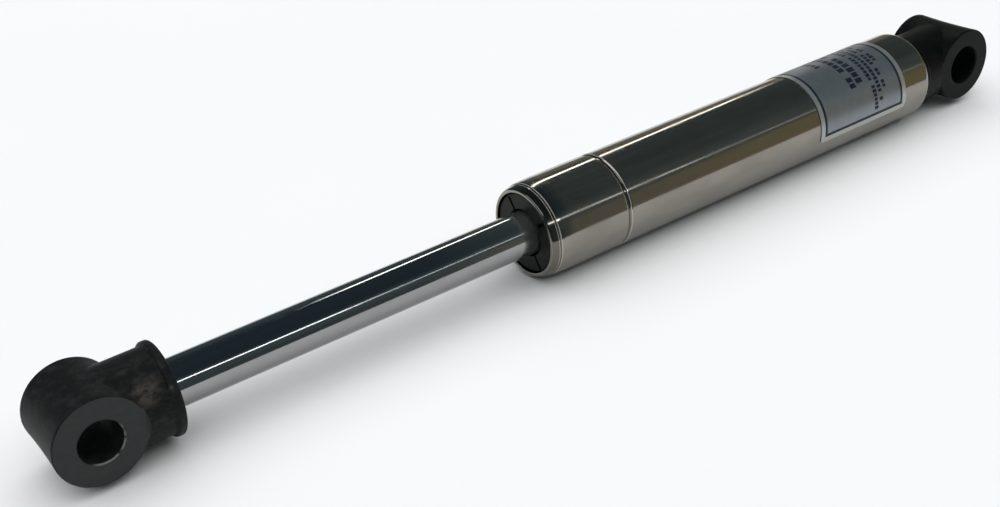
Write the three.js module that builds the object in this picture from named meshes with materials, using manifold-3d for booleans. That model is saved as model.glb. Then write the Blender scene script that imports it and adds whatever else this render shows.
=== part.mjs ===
// Gas strut stay with a pivot eye at each end, all sizes in millimetres.
//
// The frame: the origin is on the strut's axis at the centre of the tube eye's bore, +X runs along
// the strut from the rod eye to the tube eye, +Y runs along both bores and +Z is up. The strut is
// drawn fully extended, and its rod goes in along +X.
import * as THREE from 'three';
import { mergeVertices } from 'three/addons/utils/BufferGeometryUtils.js';
import Module from 'manifold-3d';

// ---- Driving dimensions ----

const CENTRES = 240; // bore centre to bore centre, fully extended
const STROKE = 80;
const GAP = 0.3; // between neighbouring pieces that touch in the real strut
const DEGREE = Math.PI / 180;

// Facet counts round the axis.
const TUBE_FACETS = 48;
const ROD_FACETS = 32;
const INNER_FACETS = 32;
const EYE_FACETS = 40;

// Eyes: a cross barrel and a neck, moulded in one.
const EYE_WIDTH = 17;
const BARREL_MID_R = 9.1;
const BARREL_END_R = 9.3; // the barrel widens a little towards its faces
const BARREL_ROUND = 0.4;
const ROD_EYE_BORE_R = 4.4;
const TUBE_EYE_BORE_R = 4.8;
const BORE_CHAMFER = 0.3;
const FACE_CUT = 2;
const NECK_R = 9.05;
const NECK_END = 16.4; // bore centre to the end of the neck
const BEAD_R = 9.75; // rim at the end of the neck
const NECK_MOUTH_R = 5.4;
const NECK_MOUTH_DEPTH = 0.8;

// Threaded insert moulded into each neck.
const INSERT_R = 5.9;
const INSERT_BORE_R = 4.1;
const INSERT_NEAR = 6.9; // bore centre to the insert's blind end
const INSERT_FAR = 15.3;
const STUD_R = 3.85;
const STUD_TIP = 7.5; // bore centre to the tip of the stud

// Pressure tube.
const TUBE_R = 11;
const TUBE_BORE_R = 9.75;
const TUBE_FRONT = -137.85;
const TUBE_BACK = -(NECK_END + GAP);
const FRONT_LIP_R = 9.35;
const BACK_LIP_R = 8.8;
const GROOVE_X = -116.4; // rolled groove that stops the piston
const GROOVE_R = 10.65;
const GROOVE_INNER_R = 9.25;

// Rod and the pieces that ride on it.
const ROD_R = 5;
const ROD_SEAT_R = 3.5;
const ROD_THREAD_R = 3;
const SLIDE_BORE_R = 5.2; // guide and seal bores, clear of the rod
const SEAT_BORE_R = 3.75;
const STOP_START = GROOVE_X + 1.6;
const PISTON_START = STOP_START + 1.3;
const PISTON_LENGTH = 4.6;
const BACK_WASHER_START = PISTON_START + PISTON_LENGTH + GAP;
const NUT_START = BACK_WASHER_START + 1 + GAP;
const NUT_LENGTH = 2.8;
const NUT_ACROSS_FLATS = 10;
const ROD_TAIL = NUT_START + NUT_LENGTH + 0.5;
const PACKING_R = 9.45; // every ring that fills the tube's bore

// Front packing, from the mouth of the tube inwards.
const CAP_FACE = TUBE_FRONT + 0.45;
const CAP_BACK = TUBE_FRONT + 4.25;
const CAP_FACE_R = 9.05;
const CAP_HOLE_R = 5.5;
const CAP_SLOT_WIDTH = 0.8;
const CAP_SLOT_DEPTH = 1.2;
const CAP_SLOT_END = 8.7;
const CAP_SLOT_LENGTH = CAP_SLOT_END - CAP_HOLE_R + 0.5;
const CAP_SLOTS = 4;
const CAP_SLOT_TURN = 55.2 * DEGREE; // from +Y towards +Z
const WIPER_START = CAP_BACK + GAP;
const WIPER_LENGTH = 2.4;
const GUIDE_START = WIPER_START + WIPER_LENGTH + GAP;
const GUIDE_LENGTH = 5.5;
const SEAL_START = GUIDE_START + GUIDE_LENGTH + GAP;
const SEAL_LENGTH = 4.5;
const BACKING_START = SEAL_START + SEAL_LENGTH + GAP;
const BACKING_LENGTH = 1.2;

// Rings that sit in grooves.
const O_RING_GROOVE_R = 8.1;
const O_RING_GROOVE_HALF = 1.05;
const O_RING_CENTRE_R = 8.95;
const O_RING_SECTION_R = 0.7;
const PISTON_GROOVE_R = 7.9;
const PISTON_GROOVE_HALF = 1.25;
const PISTON_RING_HALF = 1;
const PISTON_RING_SPLIT = 1;

// Base plug that closes the back of the tube.
const PLUG_START = -23.2;
const PLUG_BACK = -18.4;
const PLUG_BOSS_R = 5.1;
const PLUG_RING_X = -20.85;

// Label: a thin sleeve that reaches part of the way round the tube.
const LABEL_START = -56.2;
const LABEL_END = -26;
const LABEL_INNER_R = 11.08;
const LABEL_OUTER_R = 11.2;
const LABEL_FACETS = 24;
const LABEL_PHASE = -76.5 * DEGREE; // its back edge, from +Z turning towards -Y

const wasm = await Module();
wasm.setup();

// ---- Helpers ----

/** A material with its colour and surface. */
function surface(color, roughness, metalness) {
  return new THREE.MeshStandardMaterial({ color, roughness, metalness });
}

/** Keep positions and faces only, with shared corners. */
function welded(geometry) {
  const bare = geometry.clone();
  bare.deleteAttribute('normal');
  bare.deleteAttribute('uv');
  return mergeVertices(bare, 1e-5);
}

/** A three.js geometry as a manifold solid. */
function solid(geometry) {
  const merged = welded(geometry);
  return new wasm.Manifold(new wasm.Mesh({
    numProp: 3,
    vertProperties: new Float32Array(merged.attributes.position.array),
    triVerts: new Uint32Array(merged.index.array),
  }));
}

/** A manifold solid as a three.js geometry. */
function geometryOf(manifold) {
  const mesh = manifold.getMesh();
  const geometry = new THREE.BufferGeometry();
  geometry.setAttribute('position', new THREE.BufferAttribute(mesh.vertProperties, 3));
  geometry.setIndex(new THREE.BufferAttribute(mesh.triVerts, 1));
  geometry.computeVertexNormals();
  return geometry;
}

/** Turn a profile of [x, radius] points about the strut's axis. */
function turned(profile, facets, phase = 0) {
  const points = profile.map(([x, radius]) => new THREE.Vector2(radius, x));
  const geometry = new THREE.LatheGeometry(points, facets, phase, 2 * Math.PI);
  return geometry.rotateZ(-Math.PI / 2);
}

/** Turn a profile of [y, radius] points about the Y axis. */
function turnedAcross(profile, facets) {
  const points = profile.map(([y, radius]) => new THREE.Vector2(radius, y));
  return new THREE.LatheGeometry(points, facets);
}

/** A plain ring between two radii, with small outer chamfers. */
function ring(start, length, innerR, outerR, facets = INNER_FACETS) {
  const chamfer = 0.2;
  const end = start + length;
  return turned([
    [start, innerR],
    [start, outerR - chamfer],
    [start + chamfer, outerR],
    [end - chamfer, outerR],
    [end, outerR - chamfer],
    [end, innerR],
    [start, innerR],
  ], facets);
}

/** A round-section ring centred at x. */
function roundRing(x) {
  const sides = 10;
  const profile = [];
  for (let i = 0; i <= sides; i += 1) {
    const angle = (-2 * Math.PI * (i % sides)) / sides;
    profile.push([
      x + O_RING_SECTION_R * Math.cos(angle),
      O_RING_CENTRE_R - O_RING_SECTION_R * Math.sin(angle),
    ]);
  }
  return turned(profile.reverse(), INNER_FACETS);
}

/** A named mesh. */
function piece(name, geometry, material) {
  const mesh = new THREE.Mesh(geometry, material);
  mesh.name = name;
  return mesh;
}

// ---- Eyes ----

/** The barrel of an eye, before its bore is cut, about its own centre. */
function barrelBlank() {
  const half = EYE_WIDTH / 2;
  return turnedAcross([
    [-half, 0],
    [-half, BARREL_END_R - BARREL_ROUND],
    [-half + 0.12, BARREL_END_R - 0.12],
    [-half + BARREL_ROUND, BARREL_END_R],
    [0, BARREL_MID_R],
    [half - BARREL_ROUND, BARREL_END_R],
    [half - 0.12, BARREL_END_R - 0.12],
    [half, BARREL_END_R - BARREL_ROUND],
    [half, 0],
  ], EYE_FACETS);
}

/** The neck of an eye, which runs towards +X from inside the barrel to its rim. */
function neckBlank() {
  const beadStart = NECK_END - 2.2;
  return turned([
    [2, 0],
    [2, NECK_R],
    [beadStart, NECK_R],
    [beadStart + 0.5, NECK_R + 0.15],
    [beadStart + 0.9, BEAD_R - 0.12],
    [beadStart + 1.2, BEAD_R],
    [NECK_END - 0.5, BEAD_R],
    [NECK_END - 0.15, BEAD_R - 0.15],
    [NECK_END, BEAD_R - 0.5],
    [NECK_END, 0],
  ], EYE_FACETS);
}

/** The cutter that keeps the neck flush with one face of the barrel, from a place across. */
function faceCutter(start) {
  return turnedAcross([
    [start, 0],
    [start, BARREL_END_R],
    [start + FACE_CUT, BARREL_END_R],
    [start + FACE_CUT, 0],
  ], EYE_FACETS);
}

/** The cutter for a bore with chamfered mouths. */
function boreCutter(boreR) {
  const half = EYE_WIDTH / 2;
  return turnedAcross([
    [-half - 1, 0],
    [-half - 1, boreR + BORE_CHAMFER],
    [-half, boreR + BORE_CHAMFER],
    [-half + BORE_CHAMFER, boreR],
    [half - BORE_CHAMFER, boreR],
    [half, boreR + BORE_CHAMFER],
    [half + 1, boreR + BORE_CHAMFER],
    [half + 1, 0],
  ], INNER_FACETS);
}

/** The cutter for the seat of the insert and the mouth of the neck. */
function seatCutter() {
  const seatR = INSERT_R + 0.2;
  const mouthStart = NECK_END - NECK_MOUTH_DEPTH;
  return turned([
    [INSERT_NEAR - GAP, 0],
    [INSERT_NEAR - GAP, seatR],
    [mouthStart, seatR],
    [mouthStart, NECK_MOUTH_R],
    [NECK_END + 1, NECK_MOUTH_R],
    [NECK_END + 1, 0],
  ], INNER_FACETS);
}

/** An eye about its own centre, with its neck towards +X. */
function eye(boreR) {
  const half = EYE_WIDTH / 2;
  const neck = solid(neckBlank())
    .subtract(solid(faceCutter(half)))
    .subtract(solid(faceCutter(-half - FACE_CUT)));
  const blank = neck.add(solid(barrelBlank()));
  return geometryOf(blank.subtract(solid(boreCutter(boreR))).subtract(solid(seatCutter())));
}

/** The brass insert of an eye whose neck points towards +X, with a groove for the moulding. */
function insert() {
  const middle = (INSERT_NEAR + INSERT_FAR) / 2;
  return turned([
    [INSERT_NEAR, INSERT_BORE_R],
    [INSERT_NEAR, INSERT_R - 0.3],
    [INSERT_NEAR + 0.3, INSERT_R],
    [middle - 0.9, INSERT_R],
    [middle - 0.6, INSERT_R - 0.5],
    [middle + 0.6, INSERT_R - 0.5],
    [middle + 0.9, INSERT_R],
    [INSERT_FAR - 0.3, INSERT_R],
    [INSERT_FAR, INSERT_R - 0.3],
    [INSERT_FAR, INSERT_BORE_R],
    [INSERT_NEAR, INSERT_BORE_R],
  ], INNER_FACETS);
}

/** Move a geometry from an eye's own centre to the rod end of the strut. */
function atRodEnd(geometry) {
  return geometry.translate(-CENTRES, 0, 0);
}

/** Turn a geometry about Z, so that its neck points towards the tube at the tube end. */
function atTubeEnd(geometry) {
  return geometry.rotateZ(Math.PI);
}

// ---- Rod and piston ----

/** The rod, with a threaded stud at its eye and a stepped tail for the piston. */
function pistonRod() {
  const studTip = -CENTRES + STUD_TIP;
  const shoulder = -CENTRES + INSERT_FAR + GAP;
  return turned([
    [studTip, 0],
    [studTip, STUD_R - 0.5],
    [studTip + 0.5, STUD_R],
    [shoulder, STUD_R],
    [shoulder, ROD_R - 0.3],
    [shoulder + 0.3, ROD_R],
    [STOP_START - GAP, ROD_R],
    [STOP_START - GAP, ROD_SEAT_R],
    [NUT_START - 0.1, ROD_SEAT_R],
    [NUT_START - 0.1, ROD_THREAD_R],
    [ROD_TAIL - 0.4, ROD_THREAD_R],
    [ROD_TAIL, ROD_THREAD_R - 0.4],
    [ROD_TAIL, 0],
  ], ROD_FACETS);
}

/** The piston, with its ring groove and a lightening recess in its front face. */
function piston() {
  const start = PISTON_START;
  const end = PISTON_START + PISTON_LENGTH;
  const middle = (start + end) / 2;
  return turned([
    [start, SEAT_BORE_R],
    [start, PACKING_R - 0.2],
    [start + 0.2, PACKING_R],
    [middle - PISTON_GROOVE_HALF, PACKING_R],
    [middle - PISTON_GROOVE_HALF, PISTON_GROOVE_R],
    [middle + PISTON_GROOVE_HALF, PISTON_GROOVE_R],
    [middle + PISTON_GROOVE_HALF, PACKING_R],
    [end - 0.2, PACKING_R],
    [end, PACKING_R - 0.2],
    [end, SEAT_BORE_R],
    [start, SEAT_BORE_R],
  ], INNER_FACETS);
}

/** The split ring that floats in the piston's groove. */
function pistonRing() {
  const middle = PISTON_START + PISTON_LENGTH / 2;
  const innerR = PISTON_GROOVE_R + 0.25;
  const outerR = PACKING_R + 0.13;
  const whole = ring(middle - PISTON_RING_HALF, 2 * PISTON_RING_HALF, innerR, outerR);
  const split = new THREE.BoxGeometry(4, PISTON_RING_SPLIT, 4);
  split.translate(middle, 0, (innerR + outerR) / 2);
  return geometryOf(solid(whole).subtract(solid(split)));
}

/** The hexagon nut on the tail of the rod. */
function pistonNut() {
  const cornerR = NUT_ACROSS_FLATS / Math.sqrt(3);
  const hexagon = new THREE.CylinderGeometry(cornerR, cornerR, NUT_LENGTH, 6);
  hexagon.rotateZ(-Math.PI / 2).translate(NUT_START + NUT_LENGTH / 2, 0, 0);
  const boreR = ROD_THREAD_R + 0.25;
  const bore = new THREE.CylinderGeometry(boreR, boreR, NUT_LENGTH + 2, INNER_FACETS);
  bore.rotateZ(-Math.PI / 2).translate(NUT_START + NUT_LENGTH / 2, 0, 0);
  return geometryOf(solid(hexagon).subtract(solid(bore)));
}

// ---- Tube and packing ----

/** The tube: rolled-in mouth, bead line, stop groove and rolled-in back. */
function tube() {
  const front = TUBE_FRONT;
  const back = TUBE_BACK;
  return turned([
    [front + 0.1, FRONT_LIP_R + 0.05],
    [front, FRONT_LIP_R + 0.25],
    [front, 9.9],
    [front + 0.12, 10.1],
    [front + 0.48, 10.27],
    [front + 1.25, 10.45],
    [front + 1.9, 10.62],
    [front + 2.05, 10.5],
    [front + 2.25, 10.55],
    [front + 2.4, 10.76],
    [front + 2.9, 10.83],
    [front + 3.85, 10.92],
    [front + 5.3, TUBE_R],
    [GROOVE_X - 0.8, TUBE_R],
    [GROOVE_X - 0.45, TUBE_R - 0.15],
    [GROOVE_X - 0.15, GROOVE_R],
    [GROOVE_X + 0.15, GROOVE_R],
    [GROOVE_X + 0.45, TUBE_R - 0.15],
    [GROOVE_X + 0.8, TUBE_R],
    [back - 0.5, TUBE_R],
    [back - 0.15, TUBE_R - 0.15],
    [back, TUBE_R - 0.4],
    [back, BACK_LIP_R + 0.2],
    [back - 0.15, BACK_LIP_R],
    [back - 1.1, BACK_LIP_R],
    [back - 1.4, TUBE_BORE_R],
    [GROOVE_X + 1.3, TUBE_BORE_R],
    [GROOVE_X + 0.5, GROOVE_INNER_R + 0.1],
    [GROOVE_X, GROOVE_INNER_R],
    [GROOVE_X - 0.5, GROOVE_INNER_R + 0.1],
    [GROOVE_X - 1.3, TUBE_BORE_R],
    [front + 1.65, TUBE_BORE_R],
    [front + 1.25, FRONT_LIP_R],
    [front + 0.1, FRONT_LIP_R + 0.05],
  ], TUBE_FACETS, LABEL_PHASE);
}

/** The black cap in the tube's mouth, with narrow radial slots in its face. */
function frontCap() {
  const blank = turned([
    [CAP_FACE, CAP_HOLE_R],
    [CAP_FACE, CAP_FACE_R - 0.15],
    [CAP_FACE + 0.15, CAP_FACE_R],
    [CAP_FACE + 0.9, CAP_FACE_R],
    [CAP_FACE + 1.3, PACKING_R],
    [CAP_BACK - 0.2, PACKING_R],
    [CAP_BACK, PACKING_R - 0.2],
    [CAP_BACK, CAP_HOLE_R],
    [CAP_FACE, CAP_HOLE_R],
  ], INNER_FACETS);
  let cap = solid(blank);
  for (let i = 0; i < CAP_SLOTS; i += 1) {
    const slot = new THREE.BoxGeometry(2 * CAP_SLOT_DEPTH, CAP_SLOT_LENGTH, CAP_SLOT_WIDTH);
    slot.translate(CAP_FACE, CAP_SLOT_END - CAP_SLOT_LENGTH / 2, 0);
    slot.rotateX(CAP_SLOT_TURN + (i * 2 * Math.PI) / CAP_SLOTS);
    cap = cap.subtract(solid(slot));
  }
  return geometryOf(cap);
}

/** The wiper, with a lip that leans out towards the rod. */
function rodWiper() {
  const end = WIPER_START + WIPER_LENGTH;
  return turned([
    [WIPER_START, SLIDE_BORE_R],
    [WIPER_START, SLIDE_BORE_R + 0.4],
    [WIPER_START + 1.1, SLIDE_BORE_R + 1.3],
    [WIPER_START + 0.5, SLIDE_BORE_R + 2],
    [WIPER_START + 0.5, PACKING_R],
    [end, PACKING_R],
    [end, SLIDE_BORE_R + 0.4],
    [WIPER_START, SLIDE_BORE_R],
  ], INNER_FACETS);
}

/** The bush that guides the rod, with a groove for its sealing ring. */
function guideBush() {
  const end = GUIDE_START + GUIDE_LENGTH;
  const groove = end - 2.75;
  return turned([
    [GUIDE_START, SLIDE_BORE_R + 0.2],
    [GUIDE_START, PACKING_R - 0.2],
    [GUIDE_START + 0.2, PACKING_R],
    [groove - O_RING_GROOVE_HALF, PACKING_R],
    [groove - O_RING_GROOVE_HALF, O_RING_GROOVE_R],
    [groove + O_RING_GROOVE_HALF, O_RING_GROOVE_R],
    [groove + O_RING_GROOVE_HALF, PACKING_R],
    [end - 0.2, PACKING_R],
    [end, PACKING_R - 0.2],
    [end, SLIDE_BORE_R + 0.2],
    [end - 0.2, SLIDE_BORE_R],
    [GUIDE_START + 0.2, SLIDE_BORE_R],
    [GUIDE_START, SLIDE_BORE_R + 0.2],
  ], INNER_FACETS);
}

/** The pressure seal: a cup with an inner and an outer lip towards the gas. */
function rodLipSeal() {
  const end = SEAL_START + SEAL_LENGTH;
  const floor = SEAL_START + 1.8;
  return turned([
    [SEAL_START, SLIDE_BORE_R + 0.3],
    [SEAL_START, PACKING_R - 0.2],
    [SEAL_START + 0.2, PACKING_R],
    [end, PACKING_R],
    [end, PACKING_R - 0.9],
    [floor, PACKING_R - 1.4],
    [floor, SLIDE_BORE_R + 1.4],
    [end, SLIDE_BORE_R + 0.9],
    [end, SLIDE_BORE_R],
    [SEAL_START + 0.3, SLIDE_BORE_R],
    [SEAL_START, SLIDE_BORE_R + 0.3],
  ], INNER_FACETS);
}

/** The plug that closes the back of the tube, with its ring groove, boss and stud. */
function basePlug() {
  return turned([
    [PLUG_START, 0],
    [PLUG_START, PACKING_R - 0.3],
    [PLUG_START + 0.3, PACKING_R],
    [PLUG_RING_X - O_RING_GROOVE_HALF, PACKING_R],
    [PLUG_RING_X - O_RING_GROOVE_HALF, O_RING_GROOVE_R],
    [PLUG_RING_X + O_RING_GROOVE_HALF, O_RING_GROOVE_R],
    [PLUG_RING_X + O_RING_GROOVE_HALF, PACKING_R],
    [PLUG_BACK - 0.35, PACKING_R],
    [PLUG_BACK, PACKING_R - 0.35],
    [PLUG_BACK, PLUG_BOSS_R],
    [-INSERT_FAR - GAP, PLUG_BOSS_R],
    [-INSERT_FAR - GAP, STUD_R],
    [-STUD_TIP - 0.5, STUD_R],
    [-STUD_TIP, STUD_R - 0.5],
    [-STUD_TIP, 0],
  ], INNER_FACETS);
}

/** The label, a thin curved plate over part of the tube's back end. */
function label() {
  const outline = new THREE.Shape();
  const step = (2 * Math.PI) / TUBE_FACETS;
  const corner = (radius, i) => {
    const angle = LABEL_PHASE + i * step;
    return [-radius * Math.cos(angle), -radius * Math.sin(angle)];
  };
  outline.moveTo(...corner(LABEL_INNER_R, 0));
  for (let i = 1; i <= LABEL_FACETS; i += 1) {
    outline.lineTo(...corner(LABEL_INNER_R, i));
  }
  for (let i = LABEL_FACETS; i >= 0; i -= 1) {
    outline.lineTo(...corner(LABEL_OUTER_R, i));
  }
  outline.closePath();
  const plate = new THREE.ExtrudeGeometry(outline, {
    depth: LABEL_END - LABEL_START,
    bevelEnabled: false,
    curveSegments: 1,
  });
  return plate.rotateY(Math.PI / 2).translate(LABEL_START, 0, 0);
}

// ---- The strut ----

const chrome = () => surface(0xc9ccce, 0.08, 1);
const stainless = () => surface(0xa9a69f, 0.2, 1);
const steel = () => surface(0x8d9093, 0.4, 1);
const brass = () => surface(0xb8963e, 0.35, 1);
const nylon = () => surface(0x17181a, 0.5, 0);
const rubber = () => surface(0x101112, 0.85, 0);
const acetal = () => surface(0x2a2b2d, 0.45, 0);
const foil = () => surface(0x9aa3ad, 0.5, 0);

const strut = new THREE.Group();
strut.name = 'gas_strut_stay';

// Pieces that go in and out with the rod.
strut.add(piece('rod_eye', atRodEnd(eye(ROD_EYE_BORE_R)), nylon()));
strut.add(piece('rod_eye_insert', atRodEnd(insert()), brass()));
strut.add(piece('piston_rod', pistonRod(), chrome()));
strut.add(piece('piston_stop_washer', ring(STOP_START, 1, SEAT_BORE_R, PACKING_R), steel()));
strut.add(piece('piston', piston(), acetal()));
strut.add(piece('piston_ring', pistonRing(), acetal()));
strut.add(piece('piston_back_washer', ring(BACK_WASHER_START, 1, SEAT_BORE_R, 7.5), steel()));
strut.add(piece('piston_nut', pistonNut(), steel()));

// Pieces that stay with the tube.
strut.add(piece('tube', tube(), stainless()));
strut.add(piece('front_cap', frontCap(), nylon()));
strut.add(piece('rod_wiper', rodWiper(), rubber()));
strut.add(piece('guide_bush', guideBush(), acetal()));
strut.add(piece('guide_o_ring', roundRing(GUIDE_START + GUIDE_LENGTH - 2.75), rubber()));
strut.add(piece('rod_lip_seal', rodLipSeal(), rubber()));
strut.add(piece(
  'seal_backing_washer',
  ring(BACKING_START, BACKING_LENGTH, SLIDE_BORE_R + 0.1, PACKING_R),
  steel(),
));
strut.add(piece('base_plug', basePlug(), steel()));
strut.add(piece('base_plug_o_ring', roundRing(PLUG_RING_X), rubber()));
strut.add(piece('tube_eye', atTubeEnd(eye(TUBE_EYE_BORE_R)), nylon()));
strut.add(piece('tube_eye_insert', atTubeEnd(insert()), brass()));
strut.add(piece('label', label(), foil()));

export default strut;
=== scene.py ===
"""Looks of a gas strut stay: pivot eyes, polished rod, stainless tube, packing and label.

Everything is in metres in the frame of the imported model: the origin is the centre of the tube eye's
bore, +X runs along the strut from the rod eye to the tube eye, +Y runs along both bores and +Z is up.
Sizes written here are in millimetres and are multiplied by MM where a mesh is made.
"""

import logging
import math
from dataclasses import dataclass
from enum import Enum
from typing import Callable

import bmesh
import bpy
import numpy as np
from mathutils import Matrix, Vector


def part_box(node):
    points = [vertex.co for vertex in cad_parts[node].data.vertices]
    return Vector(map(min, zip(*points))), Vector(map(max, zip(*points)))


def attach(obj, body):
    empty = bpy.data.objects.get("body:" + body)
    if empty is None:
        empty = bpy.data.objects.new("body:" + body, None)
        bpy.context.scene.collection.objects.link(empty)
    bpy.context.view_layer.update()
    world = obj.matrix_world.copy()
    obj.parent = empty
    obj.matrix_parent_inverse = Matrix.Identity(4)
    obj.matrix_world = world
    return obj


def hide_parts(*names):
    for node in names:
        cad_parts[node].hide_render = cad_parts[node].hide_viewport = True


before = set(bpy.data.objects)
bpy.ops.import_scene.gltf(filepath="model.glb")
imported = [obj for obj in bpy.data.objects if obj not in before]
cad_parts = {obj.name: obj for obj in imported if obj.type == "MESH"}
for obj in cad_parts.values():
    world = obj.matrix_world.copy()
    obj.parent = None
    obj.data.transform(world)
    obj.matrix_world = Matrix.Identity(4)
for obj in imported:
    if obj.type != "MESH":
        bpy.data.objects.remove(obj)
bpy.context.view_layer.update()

LOG = logging.getLogger("gas_strut")
MM = 0.001
WELD = 2e-6
EYE_PITCH = 1.25
NUT_PITCH = 0.8
ROD_EYE_X = -240.0
TUBE_EYE_X = 0.0
MOUTH_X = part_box("tube")[0][0] / MM
GROOVE_X = -116.4


class Body(Enum):
    """The moving groups of the strut."""

    TUBE = "tube_body"
    RING = "piston_ring_body"
    ROD = "rod_body"


class Slot(Enum):
    """The record's material slots."""

    ROD = "polished_rod"
    TUBE = "stainless_tube"
    NYLON = "black_nylon"
    ACETAL = "black_acetal"
    RUBBER = "black_rubber"
    STEEL = "zinc_steel"
    BRASS = "brass"
    FOIL = "label_foil"


# ---- Nodes ----


class Wire:
    """A node output that takes part in Python sums."""

    def __init__(self, board: "Board", socket: bpy.types.NodeSocket) -> None:
        """Keep the socket and the board that it is on."""
        self.board = board
        self.socket = socket

    def math(self, operation: str, *others: "Wire | float") -> "Wire":
        """Put this output through one Math node.

        Args:
            operation: the Math node's operation.
            others: the values or outputs of its other inputs.

        Returns:
            The node's output.
        """
        values = dict(enumerate((self, *others)))
        return self.board.wire("ShaderNodeMath", {"operation": operation}, values)

    def __add__(self, other: "Wire | float") -> "Wire":
        """Return the sum."""
        return self.math("ADD", other)

    __radd__ = __add__

    def __mul__(self, other: "Wire | float") -> "Wire":
        """Return the product."""
        return self.math("MULTIPLY", other)

    __rmul__ = __mul__

    def __sub__(self, other: "Wire | float") -> "Wire":
        """Return the difference."""
        return self.math("SUBTRACT", other)

    def __rsub__(self, other: float) -> "Wire":
        """Return the difference, the other way round."""
        return self.board.wire("ShaderNodeMath", {"operation": "SUBTRACT"}, {0: other, 1: self})

    def __truediv__(self, other: "Wire | float") -> "Wire":
        """Return the quotient."""
        return self.math("DIVIDE", other)

    def __abs__(self) -> "Wire":
        """Return the absolute value."""
        return self.math("ABSOLUTE")

    def step(self, low: float, high: float) -> "Wire":
        """Return a smooth step from 0 at low to 1 at high; low may be the larger."""
        settings = {"interpolation_type": "SMOOTHSTEP"}
        flip = low > high
        ends = {1: min(low, high), 2: max(low, high), 3: float(flip), 4: float(not flip)}
        return self.board.wire("ShaderNodeMapRange", settings, {0: self, **ends})


class Board:
    """A node tree that nodes are added to."""

    def __init__(self, tree: bpy.types.NodeTree) -> None:
        """Keep the tree."""
        self.tree = tree

    def node(self, kind: str, settings: dict | None = None, inputs: dict | None = None) -> bpy.types.Node:
        """Add a node.

        Args:
            kind: the node's type.
            settings: its own properties.
            inputs: values or wires for its input sockets, by name or number.

        Returns:
            The node.
        """
        made = self.tree.nodes.new(kind)
        for name, value in (settings or {}).items():
            setattr(made, name, value)
        for name, value in (inputs or {}).items():
            if isinstance(value, Wire):
                self.tree.links.new(value.socket, made.inputs[name])
            else:
                made.inputs[name].default_value = value
        return made

    def wire(
        self, kind: str, settings: dict | None = None, inputs: dict | None = None, output: str | int = 0
    ) -> Wire:
        """Add a node and return one of its outputs, the first unless told."""
        return Wire(self, self.node(kind, settings, inputs).outputs[output])

    def combine(self, x: Wire | float, y: Wire | float, z: Wire | float) -> Wire:
        """Return the vector of three values."""
        return self.wire("ShaderNodeCombineXYZ", inputs={0: x, 1: y, 2: z})

    def split(self, vector: Wire) -> tuple[Wire, Wire, Wire]:
        """Return a vector's three values."""
        parts = self.node("ShaderNodeSeparateXYZ", inputs={0: vector})
        return tuple(Wire(self, parts.outputs[i]) for i in range(3))

    def mix(self, factor: Wire | float, low: tuple | Wire, high: tuple | Wire) -> Wire:
        """Return a colour between two, by a factor."""
        pair = {"A_Color": low, "B_Color": high}
        made = self.tree.nodes.new("ShaderNodeMix")
        made.data_type = "RGBA"
        by_identifier = {socket.identifier: socket for socket in made.inputs}
        for name, value in {"Factor_Float": factor, **pair}.items():
            if isinstance(value, Wire):
                self.tree.links.new(value.socket, by_identifier[name])
            elif isinstance(value, tuple):
                by_identifier[name].default_value = (*value, 1.0)
            else:
                by_identifier[name].default_value = value
        outputs = {socket.identifier: socket for socket in made.outputs}
        return Wire(self, outputs["Result_Color"])


# ---- Finishes ----


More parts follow.
